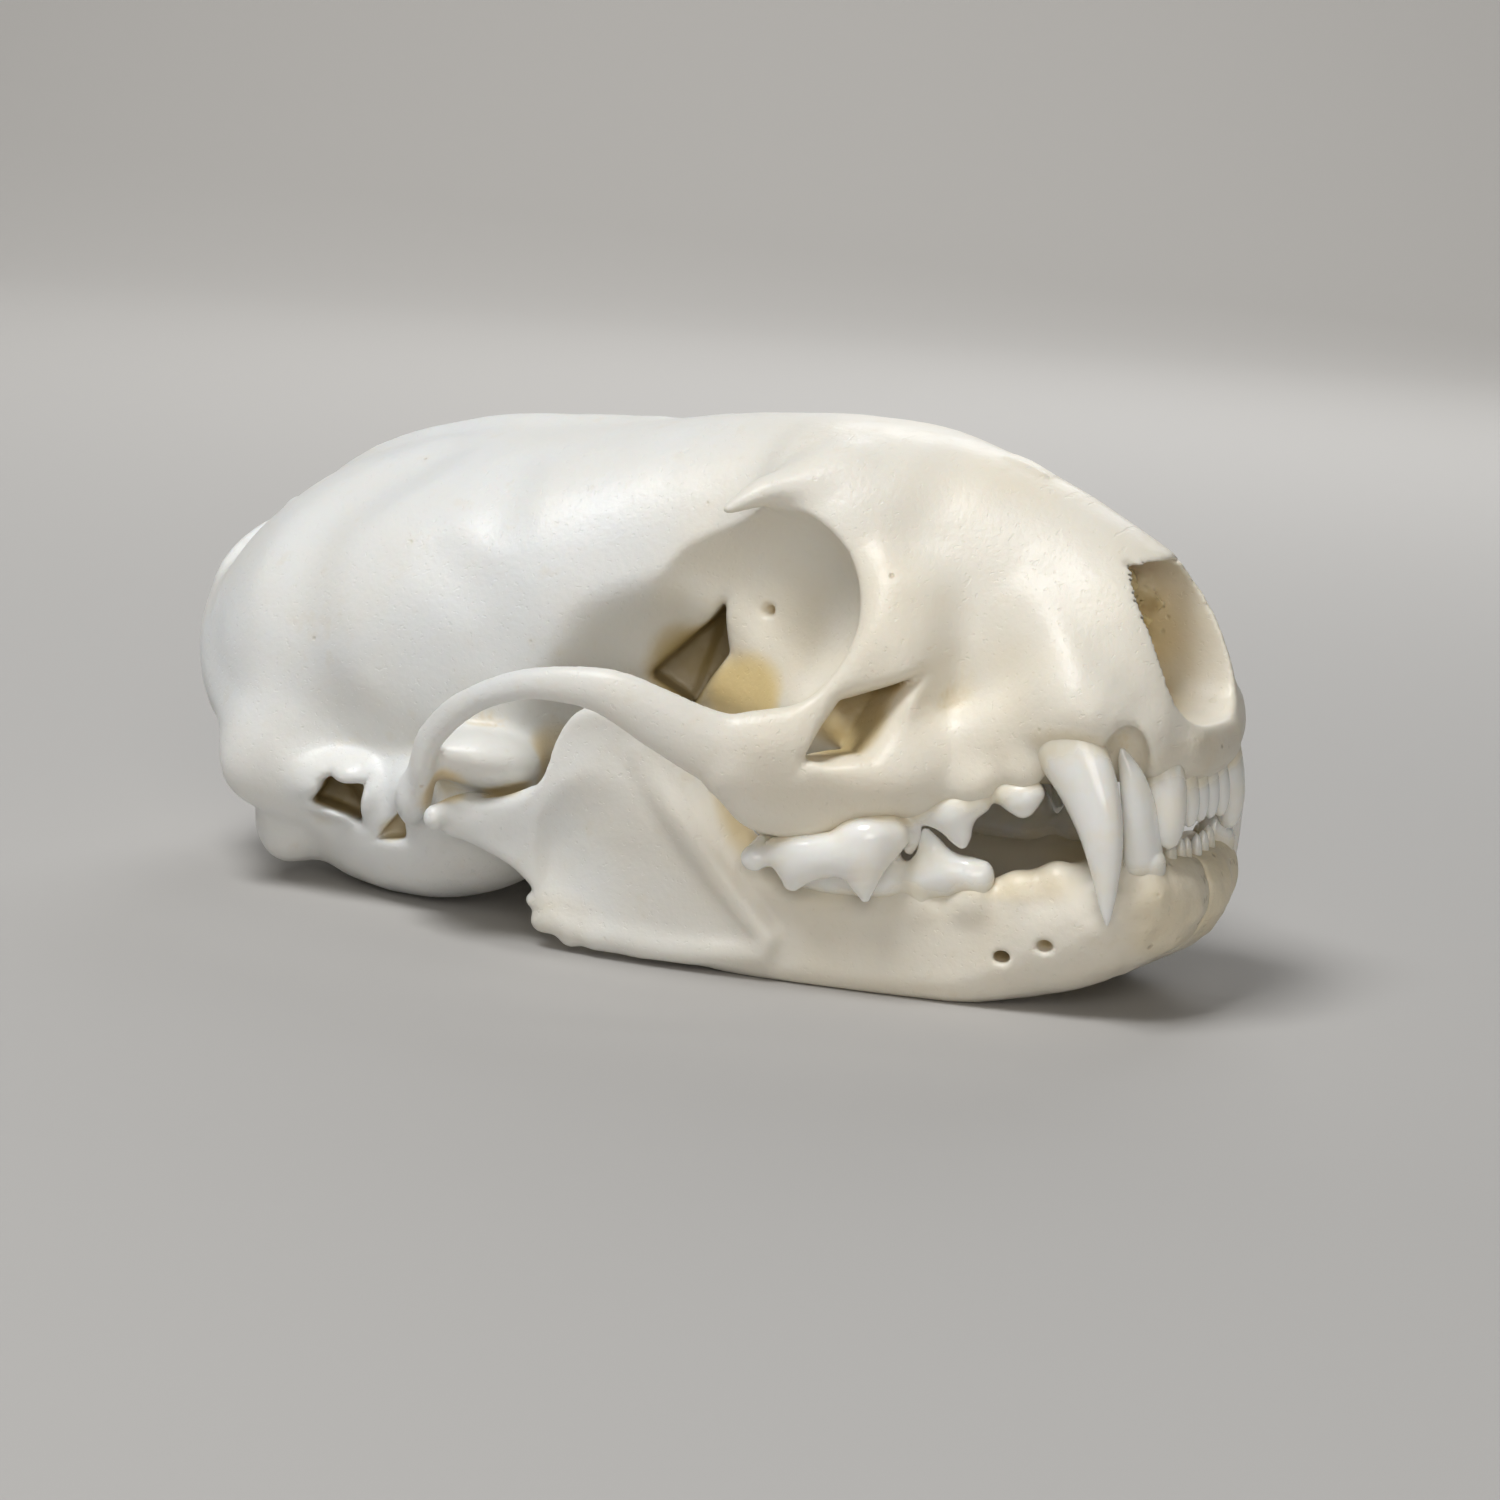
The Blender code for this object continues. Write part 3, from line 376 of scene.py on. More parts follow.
def surface(field, low, step):
    """Surface nets: a point in each crossed cell, at the mean of its edge crossings, and a quad round each crossed
    edge. Three times, each point is eased and then moved by minus F grad F / |grad F|^2, onto the surface. Two more
    easings take out the grid's steps."""
    inside = field < 0
    nx, ny, nz = field.shape
    strides = np.array([ny * nz, nz, 1])
    corners = [(i, j, k) for i in (0, 1) for j in (0, 1) for k in (0, 1)]
    count = np.zeros((nx - 1, ny - 1, nz - 1), np.int8)
    for i, j, k in corners:
        count += inside[i:nx - 1 + i, j:ny - 1 + j, k:nz - 1 + k]
    cells = np.argwhere((count > 0) & (count < 8))
    del count
    number = np.full((nx, ny, nz), -1, np.int32)
    number[tuple(cells.T)] = np.arange(len(cells))
    flat = field.ravel()
    base = cells @ strides
    values = {c: flat[base + np.array(c) @ strides] for c in corners}
    total = np.zeros((len(cells), 3))
    hits = np.zeros(len(cells))
    for a in corners:
        for axis in range(3):
            if a[axis]:
                continue
            b = tuple(1 if n == axis else a[n] for n in range(3))
            crossed = (values[a] < 0) != (values[b] < 0)
            t = np.where(crossed, values[a] / np.where(crossed, values[a] - values[b], 1), 0)
            spot = np.array(a, float)[None, :].repeat(len(cells), 0)
            spot[:, axis] = t
            total += spot * crossed[:, None]
            hits += crossed
    points = cells + total / hits[:, None]
    quads = []
    for axis in range(3):
        one, two = [n for n in range(3) if n != axis]
        a = np.moveaxis(inside, axis, 0)
        edge = np.moveaxis(a[:-1] != a[1:], 0, axis)
        spots = np.argwhere(edge)
        spots = spots[(spots[:, one] > 0) & (spots[:, two] > 0)]
        starts = inside[tuple(spots.T)]
        d1, d2 = np.zeros(3, int), np.zeros(3, int)
        d1[one], d2[two] = 1, 1
        ring = np.stack([number[tuple((spots - d).T)] for d in (0 * d1, d1, d1 + d2, d2)], axis=1)
        flip = starts if axis == 1 else ~starts
        ring[flip] = ring[flip][:, ::-1]
        quads.append(ring[(ring >= 0).all(axis=1)])
    quads = np.vstack(quads)
    ends = np.vstack([quads[:, [0, 1]], quads[:, [1, 2]], quads[:, [2, 3]], quads[:, [3, 0]]])

    def sample(spots):
        """Value and slope of the field at spots, blended from the eight corners of the cell round each"""
        cell = np.clip(np.floor(spots).astype(int), 0, np.array(field.shape) - 2)
        t = spots - cell
        at = cell @ strides
        value, slope = 0, np.zeros_like(spots)
        for c in corners:
            weights = [t[:, n] if c[n] else 1 - t[:, n] for n in range(3)]
            f = flat[at + np.array(c) @ strides]
            value = value + f * weights[0] * weights[1] * weights[2]
            for n in range(3):
                others = [m for m in range(3) if m != n]
                slope[:, n] += f * (1 if c[n] else -1) * weights[others[0]] * weights[others[1]]
        return value, slope

    def eased(spots):
        """Each point moved halfway to the mean of its neighbours"""
        near = np.stack([np.bincount(ends[:, 0], spots[ends[:, 1], n], len(spots)) for n in range(3)], axis=1)
        return 0.5 * spots + 0.5 * near / np.bincount(ends[:, 0], minlength=len(spots))[:, None]

    for _ in range(3):
        points = eased(points)
        value, slope = sample(points)
        size = np.maximum((slope**2).sum(axis=1), 1e-6)
        points = points - np.clip(value / size, -1, 1)[:, None] * slope
    return eased(eased(points)) * step + low, quads


def blurred(values, radius):
    """Mean over a box of 2 radius + 1 cells along each axis"""
    for axis in range(3):
        pad = [(0, 0)] * 3
        pad[axis] = (radius + 1, radius)
        total = np.cumsum(np.pad(values, pad, mode="edge"), axis=axis, dtype=np.float32)
        n = values.shape[axis]
        ahead = np.take(total, np.arange(2 * radius + 1, 2 * radius + 1 + n), axis=axis)
        values = (ahead - np.take(total, np.arange(n), axis=axis)) / (2 * radius + 1)
    return values


def looked_up(values, low, step, points):
    """Value of a grid at points, by the nearest node"""
    spot = np.clip(np.rint((points - low) / step).astype(int), 0, np.array(values.shape) - 1)
    return values[tuple(spot.T)]


# places of the bone by centre and radii, on both sides, with painted shade, painted warm light, real yellowing or wear
PLACES = (
    # inside of the nose, roof of the mouth, floor and back wall of the eye socket: painted warm light and shade
    ((0.0, -16.6, 12.5), (4.0, 5.8, 3.9), {"painted_warm_light_and_yellowing": 1.0}),
    ((0.0, -12.0, 5.7), (5.6, 11.5, 3.8), {"painted_warm_light_and_yellowing": 1.0, "painted_shade": 0.35}),
    ((-4.1, -5.5, 9.0), (2.4, 2.6, 2.3), {"painted_warm_light_and_yellowing": 1.0}),
    ((-5.5, -6.0, 11.0), (4.0, 5.0, 4.5), {"painted_warm_light_and_yellowing": 0.14}),
    # three-cornered opening, nerve hole, ear opening and the gap before it: painted shade and warm light inside
    ((-2.5, -2.4, 10.4), (2.6, 2.3, 3.0), {"painted_warm_light_and_yellowing": 0.9, "painted_shade": 1.0}),
    ((-6.1, -10.9, 9.4), (2.2, 2.4, 1.8), {"painted_warm_light_and_yellowing": 0.8, "painted_shade": 0.6}),
    ((-7.7, 9.4, 4.0), (1.8, 1.9, 1.7), {"painted_warm_light_and_yellowing": 0.9, "painted_shade": 1.0}),
    ((-8.3, 6.4, 3.3), (0.9, 0.9, 1.1), {"painted_warm_light_and_yellowing": 0.9, "painted_shade": 0.7}),
    # joint of the jaw, worn and yellowed; its crease and the hollow between jaw blade and braincase: painted shade and
    # light
    ((-10.5, 3.1, 5.4), (1.0, 1.2, 1.3), {"painted_warm_light_and_yellowing": 0.7, "worn": 1.0}),
    ((-8.7, 0.9, 5.2), (1.1, 1.6, 0.7), {"painted_warm_light_and_yellowing": 0.9, "painted_shade": 0.3}),
    ((-6.7, 0.3, 6.3), (1.4, 1.8, 1.8), {"painted_warm_light_and_yellowing": 0.8, "painted_shade": 0.25}),
    ((-4.2, -0.8, 7.6), (1.8, 1.9, 1.7), {"painted_warm_light_and_yellowing": 0.7, "painted_shade": 0.6}),
    ((-7.2, -6.0, 4.6), (1.0, 3.0, 2.6), {"painted_warm_light_and_yellowing": 0.6, "painted_shade": 0.3}),
    # sockets of the teeth, chin, hooked corner of the jaw and nape
    ((-4.8, -19.0, 9.9), (1.7, 1.8, 0.8), {"painted_warm_light_and_yellowing": 0.35, "worn": 0.5}),
    ((-1.5, -22.0, 9.4), (3.0, 1.2, 1.0), {"painted_warm_light_and_yellowing": 0.2, "worn": 0.6}),
    ((-5.0, -16.3, 4.7), (1.9, 4.2, 0.9), {"painted_warm_light_and_yellowing": 0.3, "worn": 0.5}),
    ((-1.6, -22.2, 4.2), (3.4, 2.4, 2.6), {"painted_warm_light_and_yellowing": 0.35, "worn": 1.0}),
    ((-9.0, -1.4, 1.1), (1.3, 2.4, 1.3), {"painted_warm_light_and_yellowing": 0.15, "worn": 0.7}),
    ((-5.0, 17.4, 10.5), (5.5, 2.2, 6.0), {"worn": 0.3}),
)


def marks(points, field, low, step, reach):
    """Painted shade, a warm tone (painted warm light in hollows, real yellowing at worn spots) and wear at each point.
    Shade and warm light are painted into a crevice by the share of bone in a box of reach to each side; all three are
    given to a place by s^2 (3 - 2 s), with s = 1.4 - 1.4 |(p - c) / r|^2 kept between 0 and 1"""
    share = looked_up(blurred((field < 0).astype(np.float32), int(reach / step)), low, step, points)
    # the more bone round a point, the more painted shade and painted warm light it gets, as in a crevice
    found = {"painted_shade": np.clip((share - 0.66) / 0.3, 0, 0.7), "painted_warm_light_and_yellowing": np.clip((share - 0.62) / 0.2, 0, 0.8)}
    found["worn"] = np.zeros(len(points))
    folded = points * np.array([0, 1, 1]) - np.abs(points) * np.array([1, 0, 0])
    for centre, radii, amounts in PLACES:
        inside = np.clip(1.4 - 1.4 * (((folded - centre) / radii) ** 2).sum(axis=1), 0, 1)
        inside = inside**2 * (3 - 2 * inside)
        for key, amount in amounts.items():
            found[key] = np.maximum(found[key], amount * inside)
    return found


def body(name, points, quads, attributes, triangles):
    """Mesh object in metres, thinned to a number of triangles, smooth shaded, with one value per point and name"""
    mesh = bpy.data.meshes.new(name)
    mesh.vertices.add(len(points))
    mesh.loops.add(quads.size)
    mesh.polygons.add(len(quads))
    placed = (points + np.array([0, LENGTH_SHIFT, 0])) * MM
    mesh.vertices.foreach_set("co", placed.astype(np.float32).ravel())
    mesh.loops.foreach_set("vertex_index", quads.astype(np.int32).ravel())
    mesh.polygons.foreach_set("loop_start", np.arange(0, quads.size, 4, dtype=np.int32))
    mesh.update(calc_edges=True)
    for key, values in attributes.items():
        mesh.attributes.new(key, "FLOAT", "POINT").data.foreach_set("value", values.astype(np.float32))
    piece = bpy.data.objects.new(name, mesh)
    bpy.context.scene.collection.objects.link(piece)
    thin = piece.modifiers.new("thin", "DECIMATE")
    thin.ratio = min(1.0, triangles / (2 * len(quads)))
    bpy.context.view_layer.update()
    thinned = bpy.data.meshes.new_from_object(piece.evaluated_get(bpy.context.evaluated_depsgraph_get()))
    piece.modifiers.clear()
    piece.data = thinned
    bpy.data.meshes.remove(mesh)
    thinned.name = name
    thinned.polygons.foreach_set("use_smooth", np.ones(len(thinned.polygons), bool))
    return piece


# the right half with its mirror image, roughened on both sides together and cut off at the floor
mirror_cut = int(round(-half.low[0] / half.step))
right = half.value[:mirror_cut + 1]
whole = np.concatenate([right, right[-2::-1]], axis=0)
del half.value
step = half.step
low = half.low.copy()
low[0] = -mirror_cut * step
whole += sum(deep * noise(whole.shape, step, cell, seed) for deep, cell, seed in CRANIUM_ROUGHNESS)
whole = np.maximum(whole, FLOOR_LEVEL - (low[2] + step * np.arange(whole.shape[2], dtype=np.float32)))
points, quads = surface(whole, low, step)
cranium = body("cranium", points, quads, marks(points, whole, low, step, 1.5), CRANIUM_TRIANGLES)


def effect(name, inputs, outputs):
    """Shader node group with float inputs and named outputs of the kinds given"""
    tree = bpy.data.node_groups.new(name, "ShaderNodeTree")
    for label in inputs:
        tree.interface.new_socket(label, in_out="INPUT", socket_type="NodeSocketFloat")
    for label, kind in outputs.items():
        tree.interface.new_socket(label, in_out="OUTPUT", socket_type="NodeSocket" + kind)
    return tree


def node(tree, kind, values=None, **settings):
    """Adds a node, sets its fields and the values of its sockets, and links those given as sockets"""
    made = tree.nodes.new("ShaderNode" + kind)
    for key, value in settings.items():
        setattr(made, key, value)
    for key, value in (values or {}).items():
        if isinstance(value, bpy.types.NodeSocket):
            tree.links.new(value, made.inputs[key])
        else:
            made.inputs[key].default_value = value
    return made


def ramp(tree, source, low, high, to_low=0.0, to_high=1.0):
    """Smooth step from to_low to to_high while the source goes from low to high"""
    values = {"Value": source, "From Min": low, "From Max": high, "To Min": to_low, "To Max": to_high}
    return node(tree, "MapRange", values, interpolation_type="SMOOTHSTEP").outputs["Result"]


def times(tree, a, b, operation="MULTIPLY"):
    """Product of a and b, or their sum or difference where the operation says so"""
    return node(tree, "Math", {0: a, 1: b}, operation=operation).outputs["Value"]


def blend(tree, share, a, b):
    """Colour a with a share of colour b"""
    return node(tree, "Mix", {0: share, 6: a, 7: b}, data_type="RGBA", blend_type="MIX").outputs[2]


def give(tree, results):
    """Links each result to the output of its name"""
    out = tree.nodes.new("NodeGroupOutput")
    for label, result in results.items():
        tree.links.new(result, out.inputs[label])


def finished(name, group, labels, values):
    """Material that reads a group's colour, roughness and normal. The group reads the attributes of its labels"""
    material = bpy.data.materials.new(name)
    material.use_nodes = True
    tree = material.node_tree
    shader = tree.nodes["Principled BSDF"]
    used = tree.nodes.new("ShaderNodeGroup")
    used.node_tree = group
    for label in labels:
        tree.links.new(node(tree, "Attribute", attribute_name=label.lower()).outputs["Fac"], used.inputs[label])
    for label, socket in (("Colour", "Base Color"), ("Roughness", "Roughness"), ("Normal", "Normal")):
        tree.links.new(used.outputs[label], shader.inputs[socket])
    for socket, value in values.items():
        shader.inputs[socket].default_value = value
    return material


# Tones of the bone by place, painted shade and warm light, pores, fine scratches and grain. Texture lengths are
# metres.
look = effect("bone look", ("Painted_shade", "Painted_warm_light_and_yellowing", "Worn"), {"Colour": "Color", "Roughness": "Float", "Normal": "Vector"})
given = look.nodes.new("NodeGroupInput")
spot = node(look, "TexCoord").outputs["Object"]
length = node(look, "SeparateXYZ", {"Vector": spot}).outputs["Y"]
clouds = node(look, "TexNoise", {"Vector": spot, "Scale": 190.0, "Detail": 4.0}).outputs["Fac"]
flecks = node(look, "TexNoise", {"Vector": spot, "Scale": 900.0, "Detail": 3.0}).outputs["Fac"]
grain = node(look, "TexNoise", {"Vector": spot, "Scale": 4200.0, "Detail": 3.0}).outputs["Fac"]
face = ramp(look, length, 0.004, -0.012)
warmth = times(look, times(look, face, 0.72), ramp(look, clouds, 0.35, 0.65, 0.0, 0.25), "ADD")
colour = blend(look, warmth, (0.81, 0.82, 0.81, 1), (0.86, 0.79, 0.65, 1))
colour = blend(look, ramp(look, flecks, 0.6, 0.75, 0.0, 0.16), colour, (0.74, 0.63, 0.44, 1))
uneven = ramp(look, clouds, 0.3, 0.62, 0.45, 1.0)
# ochre for painted warm light in the hollows, and for real yellowing at worn spots
colour = blend(look, times(look, given.outputs["Painted_warm_light_and_yellowing"], uneven), colour, (0.84, 0.66, 0.33, 1))
# brown for painted shade in crevices, holes and creases
colour = blend(look, times(look, given.outputs["Painted_shade"], uneven), colour, (0.36, 0.27, 0.11, 1))
dots = node(look, "TexVoronoi", {"Vector": spot, "Scale": 1700.0, "Randomness": 1.0}).outputs["Distance"]
worn = ramp(look, times(look, flecks, times(look, given.outputs["Worn"], 0.22), "ADD"), 0.66, 0.78)
pores = times(look, ramp(look, dots, 0.25, 0.08), worn)
colour = blend(look, times(look, pores, 0.4), colour, (0.42, 0.31, 0.17, 1))
streaks = {"Vector": spot, "Rotation": (0.2, 0.5, 0.9), "Scale": (260.0, 5200.0, 5200.0)}
streaks = node(look, "Mapping", streaks).outputs["Vector"]
streaks = node(look, "TexNoise", {"Vector": streaks, "Scale": 1.0, "Detail": 1.0}).outputs["Fac"]
scratches = ramp(look, streaks, 0.66, 0.72)
crust = times(look, times(look, flecks, given.outputs["Worn"]), 2.2)
height = times(look, times(look, grain, 0.35), times(look, clouds, 0.5), "ADD")
height = times(look, times(look, height, crust, "ADD"), times(look, pores, 1.3), "SUBTRACT")
height = times(look, height, times(look, scratches, 0.18), "SUBTRACT")
bumps = node(look, "Bump", {"Strength": 0.55, "Distance": 0.00009, "Height": height})
rough = times(look, times(look, flecks, 0.2), 0.30, "ADD")
give(look, {"Colour": colour, "Roughness": rough, "Normal": bumps.outputs["Normal"]})

bone = finished("bone", look, ("Painted_shade", "Painted_warm_light_and_yellowing", "Worn"), {
    "Subsurface Weight": 0.12, "Subsurface Radius": (1.0, 0.62, 0.36), "Subsurface Scale": 0.0009, "IOR": 1.5,
})
cranium.data.materials.append(bone)
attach(cranium, "root")
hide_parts("braincase", "face", "zygomatic_arch_right", "zygomatic_arch_left", "bulla_right", "bulla_left")

# Upper teeth: smooth enamel crowns, their roots sunk in the sockets of the upper jaw. Each side has three incisors,
# the long canine, two small premolars, the cutting tooth and a crosswise molar. One side is made and mirrored.

TOOTH_GRID = 0.055
UPPER_TOOTH_TRIANGLES = 90000
# millimetres above the bone over which a crown still has the colour of its root
ROOT_FADE = 0.6


def fang(x, y, gum, tip, width, length, lean_x, lean_y, bend, taper, root=1.2):
    """Rows of a pointed crown: at height t its size is (1 - t^2)^taper and it leans by sin(90 t)^bend"""
    t = np.linspace(0, 0.985, 12)
    size = np.maximum((1 - t**2) ** taper, 0.1)
    lean = np.sin(t * math.pi / 2) ** bend
    rows = np.column_stack([x + lean_x * lean, y + lean_y * lean, gum + (tip - gum) * t, width * size, length * size])
    start = rows[0].copy()
    start[1] += 0.25 * root
    start[2] -= math.copysign(root, tip - gum)
    return np.vstack([start, rows])


UPPER_FANGS = (
    (-0.43, -21.7, 8.55, 6.95, 0.42, 0.42, 0.0, -0.3, 1.0, 0.42),
    (-1.28, -21.65, 8.55, 6.9, 0.44, 0.46, 0.0, -0.35, 1.0, 0.42),
    (-2.4, -21.35, 9.0, 6.3, 0.7, 0.72, -0.1, -0.5, 1.0, 0.42),
)
UPPER_CROWNS = (
    # canine
    ((-4.7, -18.2, 10.8, 0.85, 1.3), (-4.8, -18.75, 9.75, 0.85, 1.28), (-4.88, -19.5, 8.8, 0.82, 1.16),
     (-4.95, -20.1, 7.75, 0.72, 0.98), (-5.0, -20.5, 6.7, 0.6, 0.76), (-5.02, -20.72, 5.75, 0.45, 0.55),
     (-5.04, -20.86, 4.8, 0.29, 0.35), (-5.05, -20.95, 4.1, 0.14, 0.17), (-5.05, -20.98, 3.8, 0.06, 0.07)),
    # second premolar
    ((-4.85, -15.75, 8.0, 0.42, 0.45), (-4.95, -16.5, 7.8, 0.5, 0.5), (-5.0, -17.35, 7.6, 0.52, 0.56),
     (-4.95, -17.7, 7.85, 0.42, 0.45)),
    ((-5.0, -17.25, 7.7, 0.5, 0.55), (-5.02, -17.45, 7.25, 0.28, 0.3)),
    # third premolar
    ((-5.9, -13.6, 6.8, 0.48, 0.5), (-5.8, -14.3, 6.75, 0.52, 0.52), (-5.65, -15.1, 6.85, 0.58, 0.62),
     (-5.45, -15.9, 7.35, 0.46, 0.5)),
    ((-5.62, -15.0, 6.9, 0.56, 0.78), (-5.6, -15.35, 6.2, 0.42, 0.48), (-5.56, -15.5, 5.8, 0.2, 0.22)),
    # carnassial
    ((-8.3, -9.75, 4.9, 0.5, 0.55), (-8.2, -10.6, 4.85, 0.6, 0.8), (-7.95, -11.7, 5.1, 0.65, 0.8),
     (-7.5, -12.8, 5.4, 0.7, 0.95), (-6.95, -13.45, 6.0, 0.55, 0.7)),
    ((-7.5, -12.6, 5.8, 0.72, 1.0), (-7.6, -12.8, 4.6, 0.52, 0.7), (-7.65, -13.0, 3.75, 0.16, 0.2)),
    ((-8.2, -10.6, 5.0, 0.52, 0.85), (-8.3, -10.5, 4.3, 0.38, 0.62), (-8.33, -10.4, 3.8, 0.15, 0.28)),
    ((-7.2, -13.0, 6.0, 0.5, 0.5), (-6.0, -13.6, 5.9, 0.45, 0.5), (-5.8, -13.6, 5.3, 0.2, 0.2)),
    # molar
    ((-8.55, -9.0, 4.6, 0.48, 0.45), (-7.0, -8.9, 5.0, 0.5, 0.5), (-5.6, -8.7, 5.0, 0.6, 0.6)),
)


def tooth_rows(fangs, crowns, low, high):
    """Surface of the front teeth and of the other crowns of one side, each crown a bar or two joined softly"""
    field = Field(low, high, TOOTH_GRID)
    for sizes in fangs:
        field.join(bar(fang(*sizes), 1, 0.5), 0.05)
    for rows in crowns:
        field.join(bar(rows, 4, 0.5), 0.3)
    return surface(field.value, field.low, field.step)


def mirrored(points, quads):
    """The surface on the other side of the middle plane, with its faces still pointing outwards"""
    return points * np.array([-1, 1, 1]), quads[:, ::-1]


def both(points, quads):
    """The same surface on both sides of the middle plane, as one body"""
    other_points, other_quads = mirrored(points, quads)
    return np.vstack([points, other_points]), np.vstack([quads, other_quads + len(points)])


def rooted(depth):
    """Attribute of a tooth by its depth outside the bone: 1 within the bone, falling evenly to 0 at ROOT_FADE"""
    return {"root": np.clip(1 - depth / ROOT_FADE, 0, 1)}


points, quads = both(*tooth_rows(UPPER_FANGS, UPPER_CROWNS, (-9.6, -22.8, 3.2), (0.05, -7.6, 11.4)))
depth = looked_up(whole, low, step, points)
upper_teeth = body("upper_teeth", points, quads, rooted(depth), UPPER_TOOTH_TRIANGLES)

# The enamel: clear at the tip, warmer and duller towards the root, with fine upright lines.
shine = effect("enamel look", ("Root",), {"Colour": "Color", "Roughness": "Float", "Normal": "Vector"})
given = shine.nodes.new("NodeGroupInput")
spot = node(shine, "TexCoord").outputs["Object"]
veil = node(shine, "TexNoise", {"Vector": spot, "Scale": 700.0, "Detail": 3.0}).outputs["Fac"]
lines = node(shine, "Mapping", {"Vector": spot, "Scale": (3800.0, 3800.0, 420.0)}).outputs["Vector"]
lines = node(shine, "TexNoise", {"Vector": lines, "Scale": 1.0, "Detail": 2.0}).outputs["Fac"]
neck = times(shine, given.outputs["Root"], ramp(shine, veil, 0.3, 0.7, 0.6, 1.2))
colour = blend(shine, ramp(shine, veil, 0.4, 0.7), (0.94, 0.93, 0.89, 1), (0.94, 0.89, 0.79, 1))
colour = blend(shine, ramp(shine, neck, 0.15, 0.95, 0.0, 0.7), colour, (0.86, 0.77, 0.58, 1))
bumps = node(shine, "Bump", {"Strength": 0.25, "Distance": 0.00004, "Height": lines})
rough = ramp(shine, neck, 0.0, 1.0, 0.14, 0.4)
give(shine, {"Colour": colour, "Roughness": rough, "Normal": bumps.outputs["Normal"]})

enamel = finished("enamel", shine, ("Root",), {
    "Subsurface Weight": 0.3, "Subsurface Radius": (1.0, 0.75, 0.55), "Subsurface Scale": 0.0006, "IOR": 1.62,
})
upper_teeth.data.materials.append(enamel)
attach(upper_teeth, "root")
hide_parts("face")

# Lower jaw: two slim bones that meet at the chin, with a pit for the chewing muscle outside the rear blade, a
# crosswise knob that sits in the cheek joint, and two small nerve holes near the front.

JAW_SECTIONS = (
    (-22.4, -0.6, 1.0, 3.4, 5.2),
    (-21.9, -0.8, 1.9, 2.6, 5.5),
    (-20.8, -1.1, 2.9, 1.7, 5.7),
    (-19.4, -1.5, 3.3, 0.9, 5.5),
    (-17.9, -3.0, 2.2, 0.4, 5.0),
    (-16.0, -4.3, 1.3, 0.0, 4.4),
    (-14.0, -5.0, 1.2, -0.15, 4.0),
    (-12.0, -5.6, 1.15, -0.2, 3.7),
    (-10.0, -6.2, 1.1, -0.2, 3.6),
    (-8.2, -6.8, 1.0, -0.1, 4.7),
    (-6.6, -7.4, 0.85, 0.1, 6.4),
    (-5.1, -8.0, 0.7, 0.25, 8.2),
    (-3.8, -8.4, 0.6, 0.5, 9.0),
    (-2.6, -8.7, 0.5, 0.55, 9.1),
    (-1.6, -8.9, 0.45, 0.7, 8.7),
    (-1.0, -9.0, 0.45, 1.0, 7.7),
    (-0.6, -9.1, 0.5, 1.9, 6.3),
    (0.3, -9.3, 0.55, 2.7, 5.4),
    (1.4, -9.7, 0.65, 3.3, 5.1),
    (2.4, -10.0, 0.6, 3.8, 5.0),
)


def jaw_sections(rows):
    """Loft of rounded slabs across y, on rows of y, middle in x, half width, bottom and top: d is the distance to a
    box of that size, drawn in by the rounding, less the rounding"""
    rows = curve(rows, 8)

    def distance(field):
        part, (x, y, z) = field.window((-14, rows[0, 0] - 1.5, -2), (1.5, rows[-1, 0] + 1.5, 12))
        middle, width, bottom, top = (np.interp(y, rows[:, 0], rows[:, i]) for i in range(1, 5))
        u = np.abs(x - middle) - width
        v = np.abs(z - (bottom + top) / 2) - (top - bottom) / 2
        round_off = np.minimum(width, (top - bottom) / 2) * 0.95
        u, v = u + round_off, v + round_off
        value = np.sqrt(np.maximum(u, 0) ** 2 + np.maximum(v, 0) ** 2) + np.minimum(np.maximum(u, v), 0) - round_off
        ends = np.maximum(rows[0, 0] - y, y - rows[-1, 0])
        bend = np.maximum(0.6 - np.abs(value - ends), 0) ** 2 / 2.4
        return part, (np.maximum(value, ends) + bend).astype(np.float32)

    return distance


JAW_GRID = 0.1
JAW_TRIANGLES = 120000
# half the gap left between the two bones at the chin, and where the rough bone of the chin starts
CHIN_GAP = 0.04
CHIN_START = -19.5
jaw = Field((-13.0, -23.6, -0.9), (0.6, 4.2, 10.2), JAW_GRID)
jaw.join(jaw_sections(JAW_SECTIONS), 0.1)
for rows, soft in (
    # hooked corner behind, knob of the hinge, and the ridge that bounds the pit for the chewing muscle
    (((-8.2, -4.4, 0.9, 0.5, 0.7), (-8.8, -2.4, 0.85, 0.45, 0.5), (-9.2, -0.9, 1.1, 0.35, 0.32)), 0.5),
    (((-8.4, 2.15, 4.55, 0.4, 0.45), (-9.6, 2.4, 4.6, 0.55, 0.6), (-11.4, 2.6, 4.5, 0.4, 0.45)), 0.4),
    (((-9.0, -0.3, 4.9, 0.4, 0.9), (-9.6, 1.2, 4.3, 0.5, 0.75), (-10.5, 2.3, 4.3, 0.5, 0.6)), 0.4),
    (((-8.5, -4.2, 7.6, 0.3, 0.3), (-8.5, -5.4, 5.9, 0.32, 0.32), (-8.1, -7.3, 3.7, 0.35, 0.35),
      (-7.6, -9.2, 1.6, 0.3, 0.3)), 0.7),
    (((-7.6, -8.9, 1.0, 0.3, 0.3), (-8.3, -6.0, 0.7, 0.35, 0.35), (-8.9, -3.0, 0.8, 0.35, 0.35)), 0.6),
):
    jaw.join(bar(rows), soft)
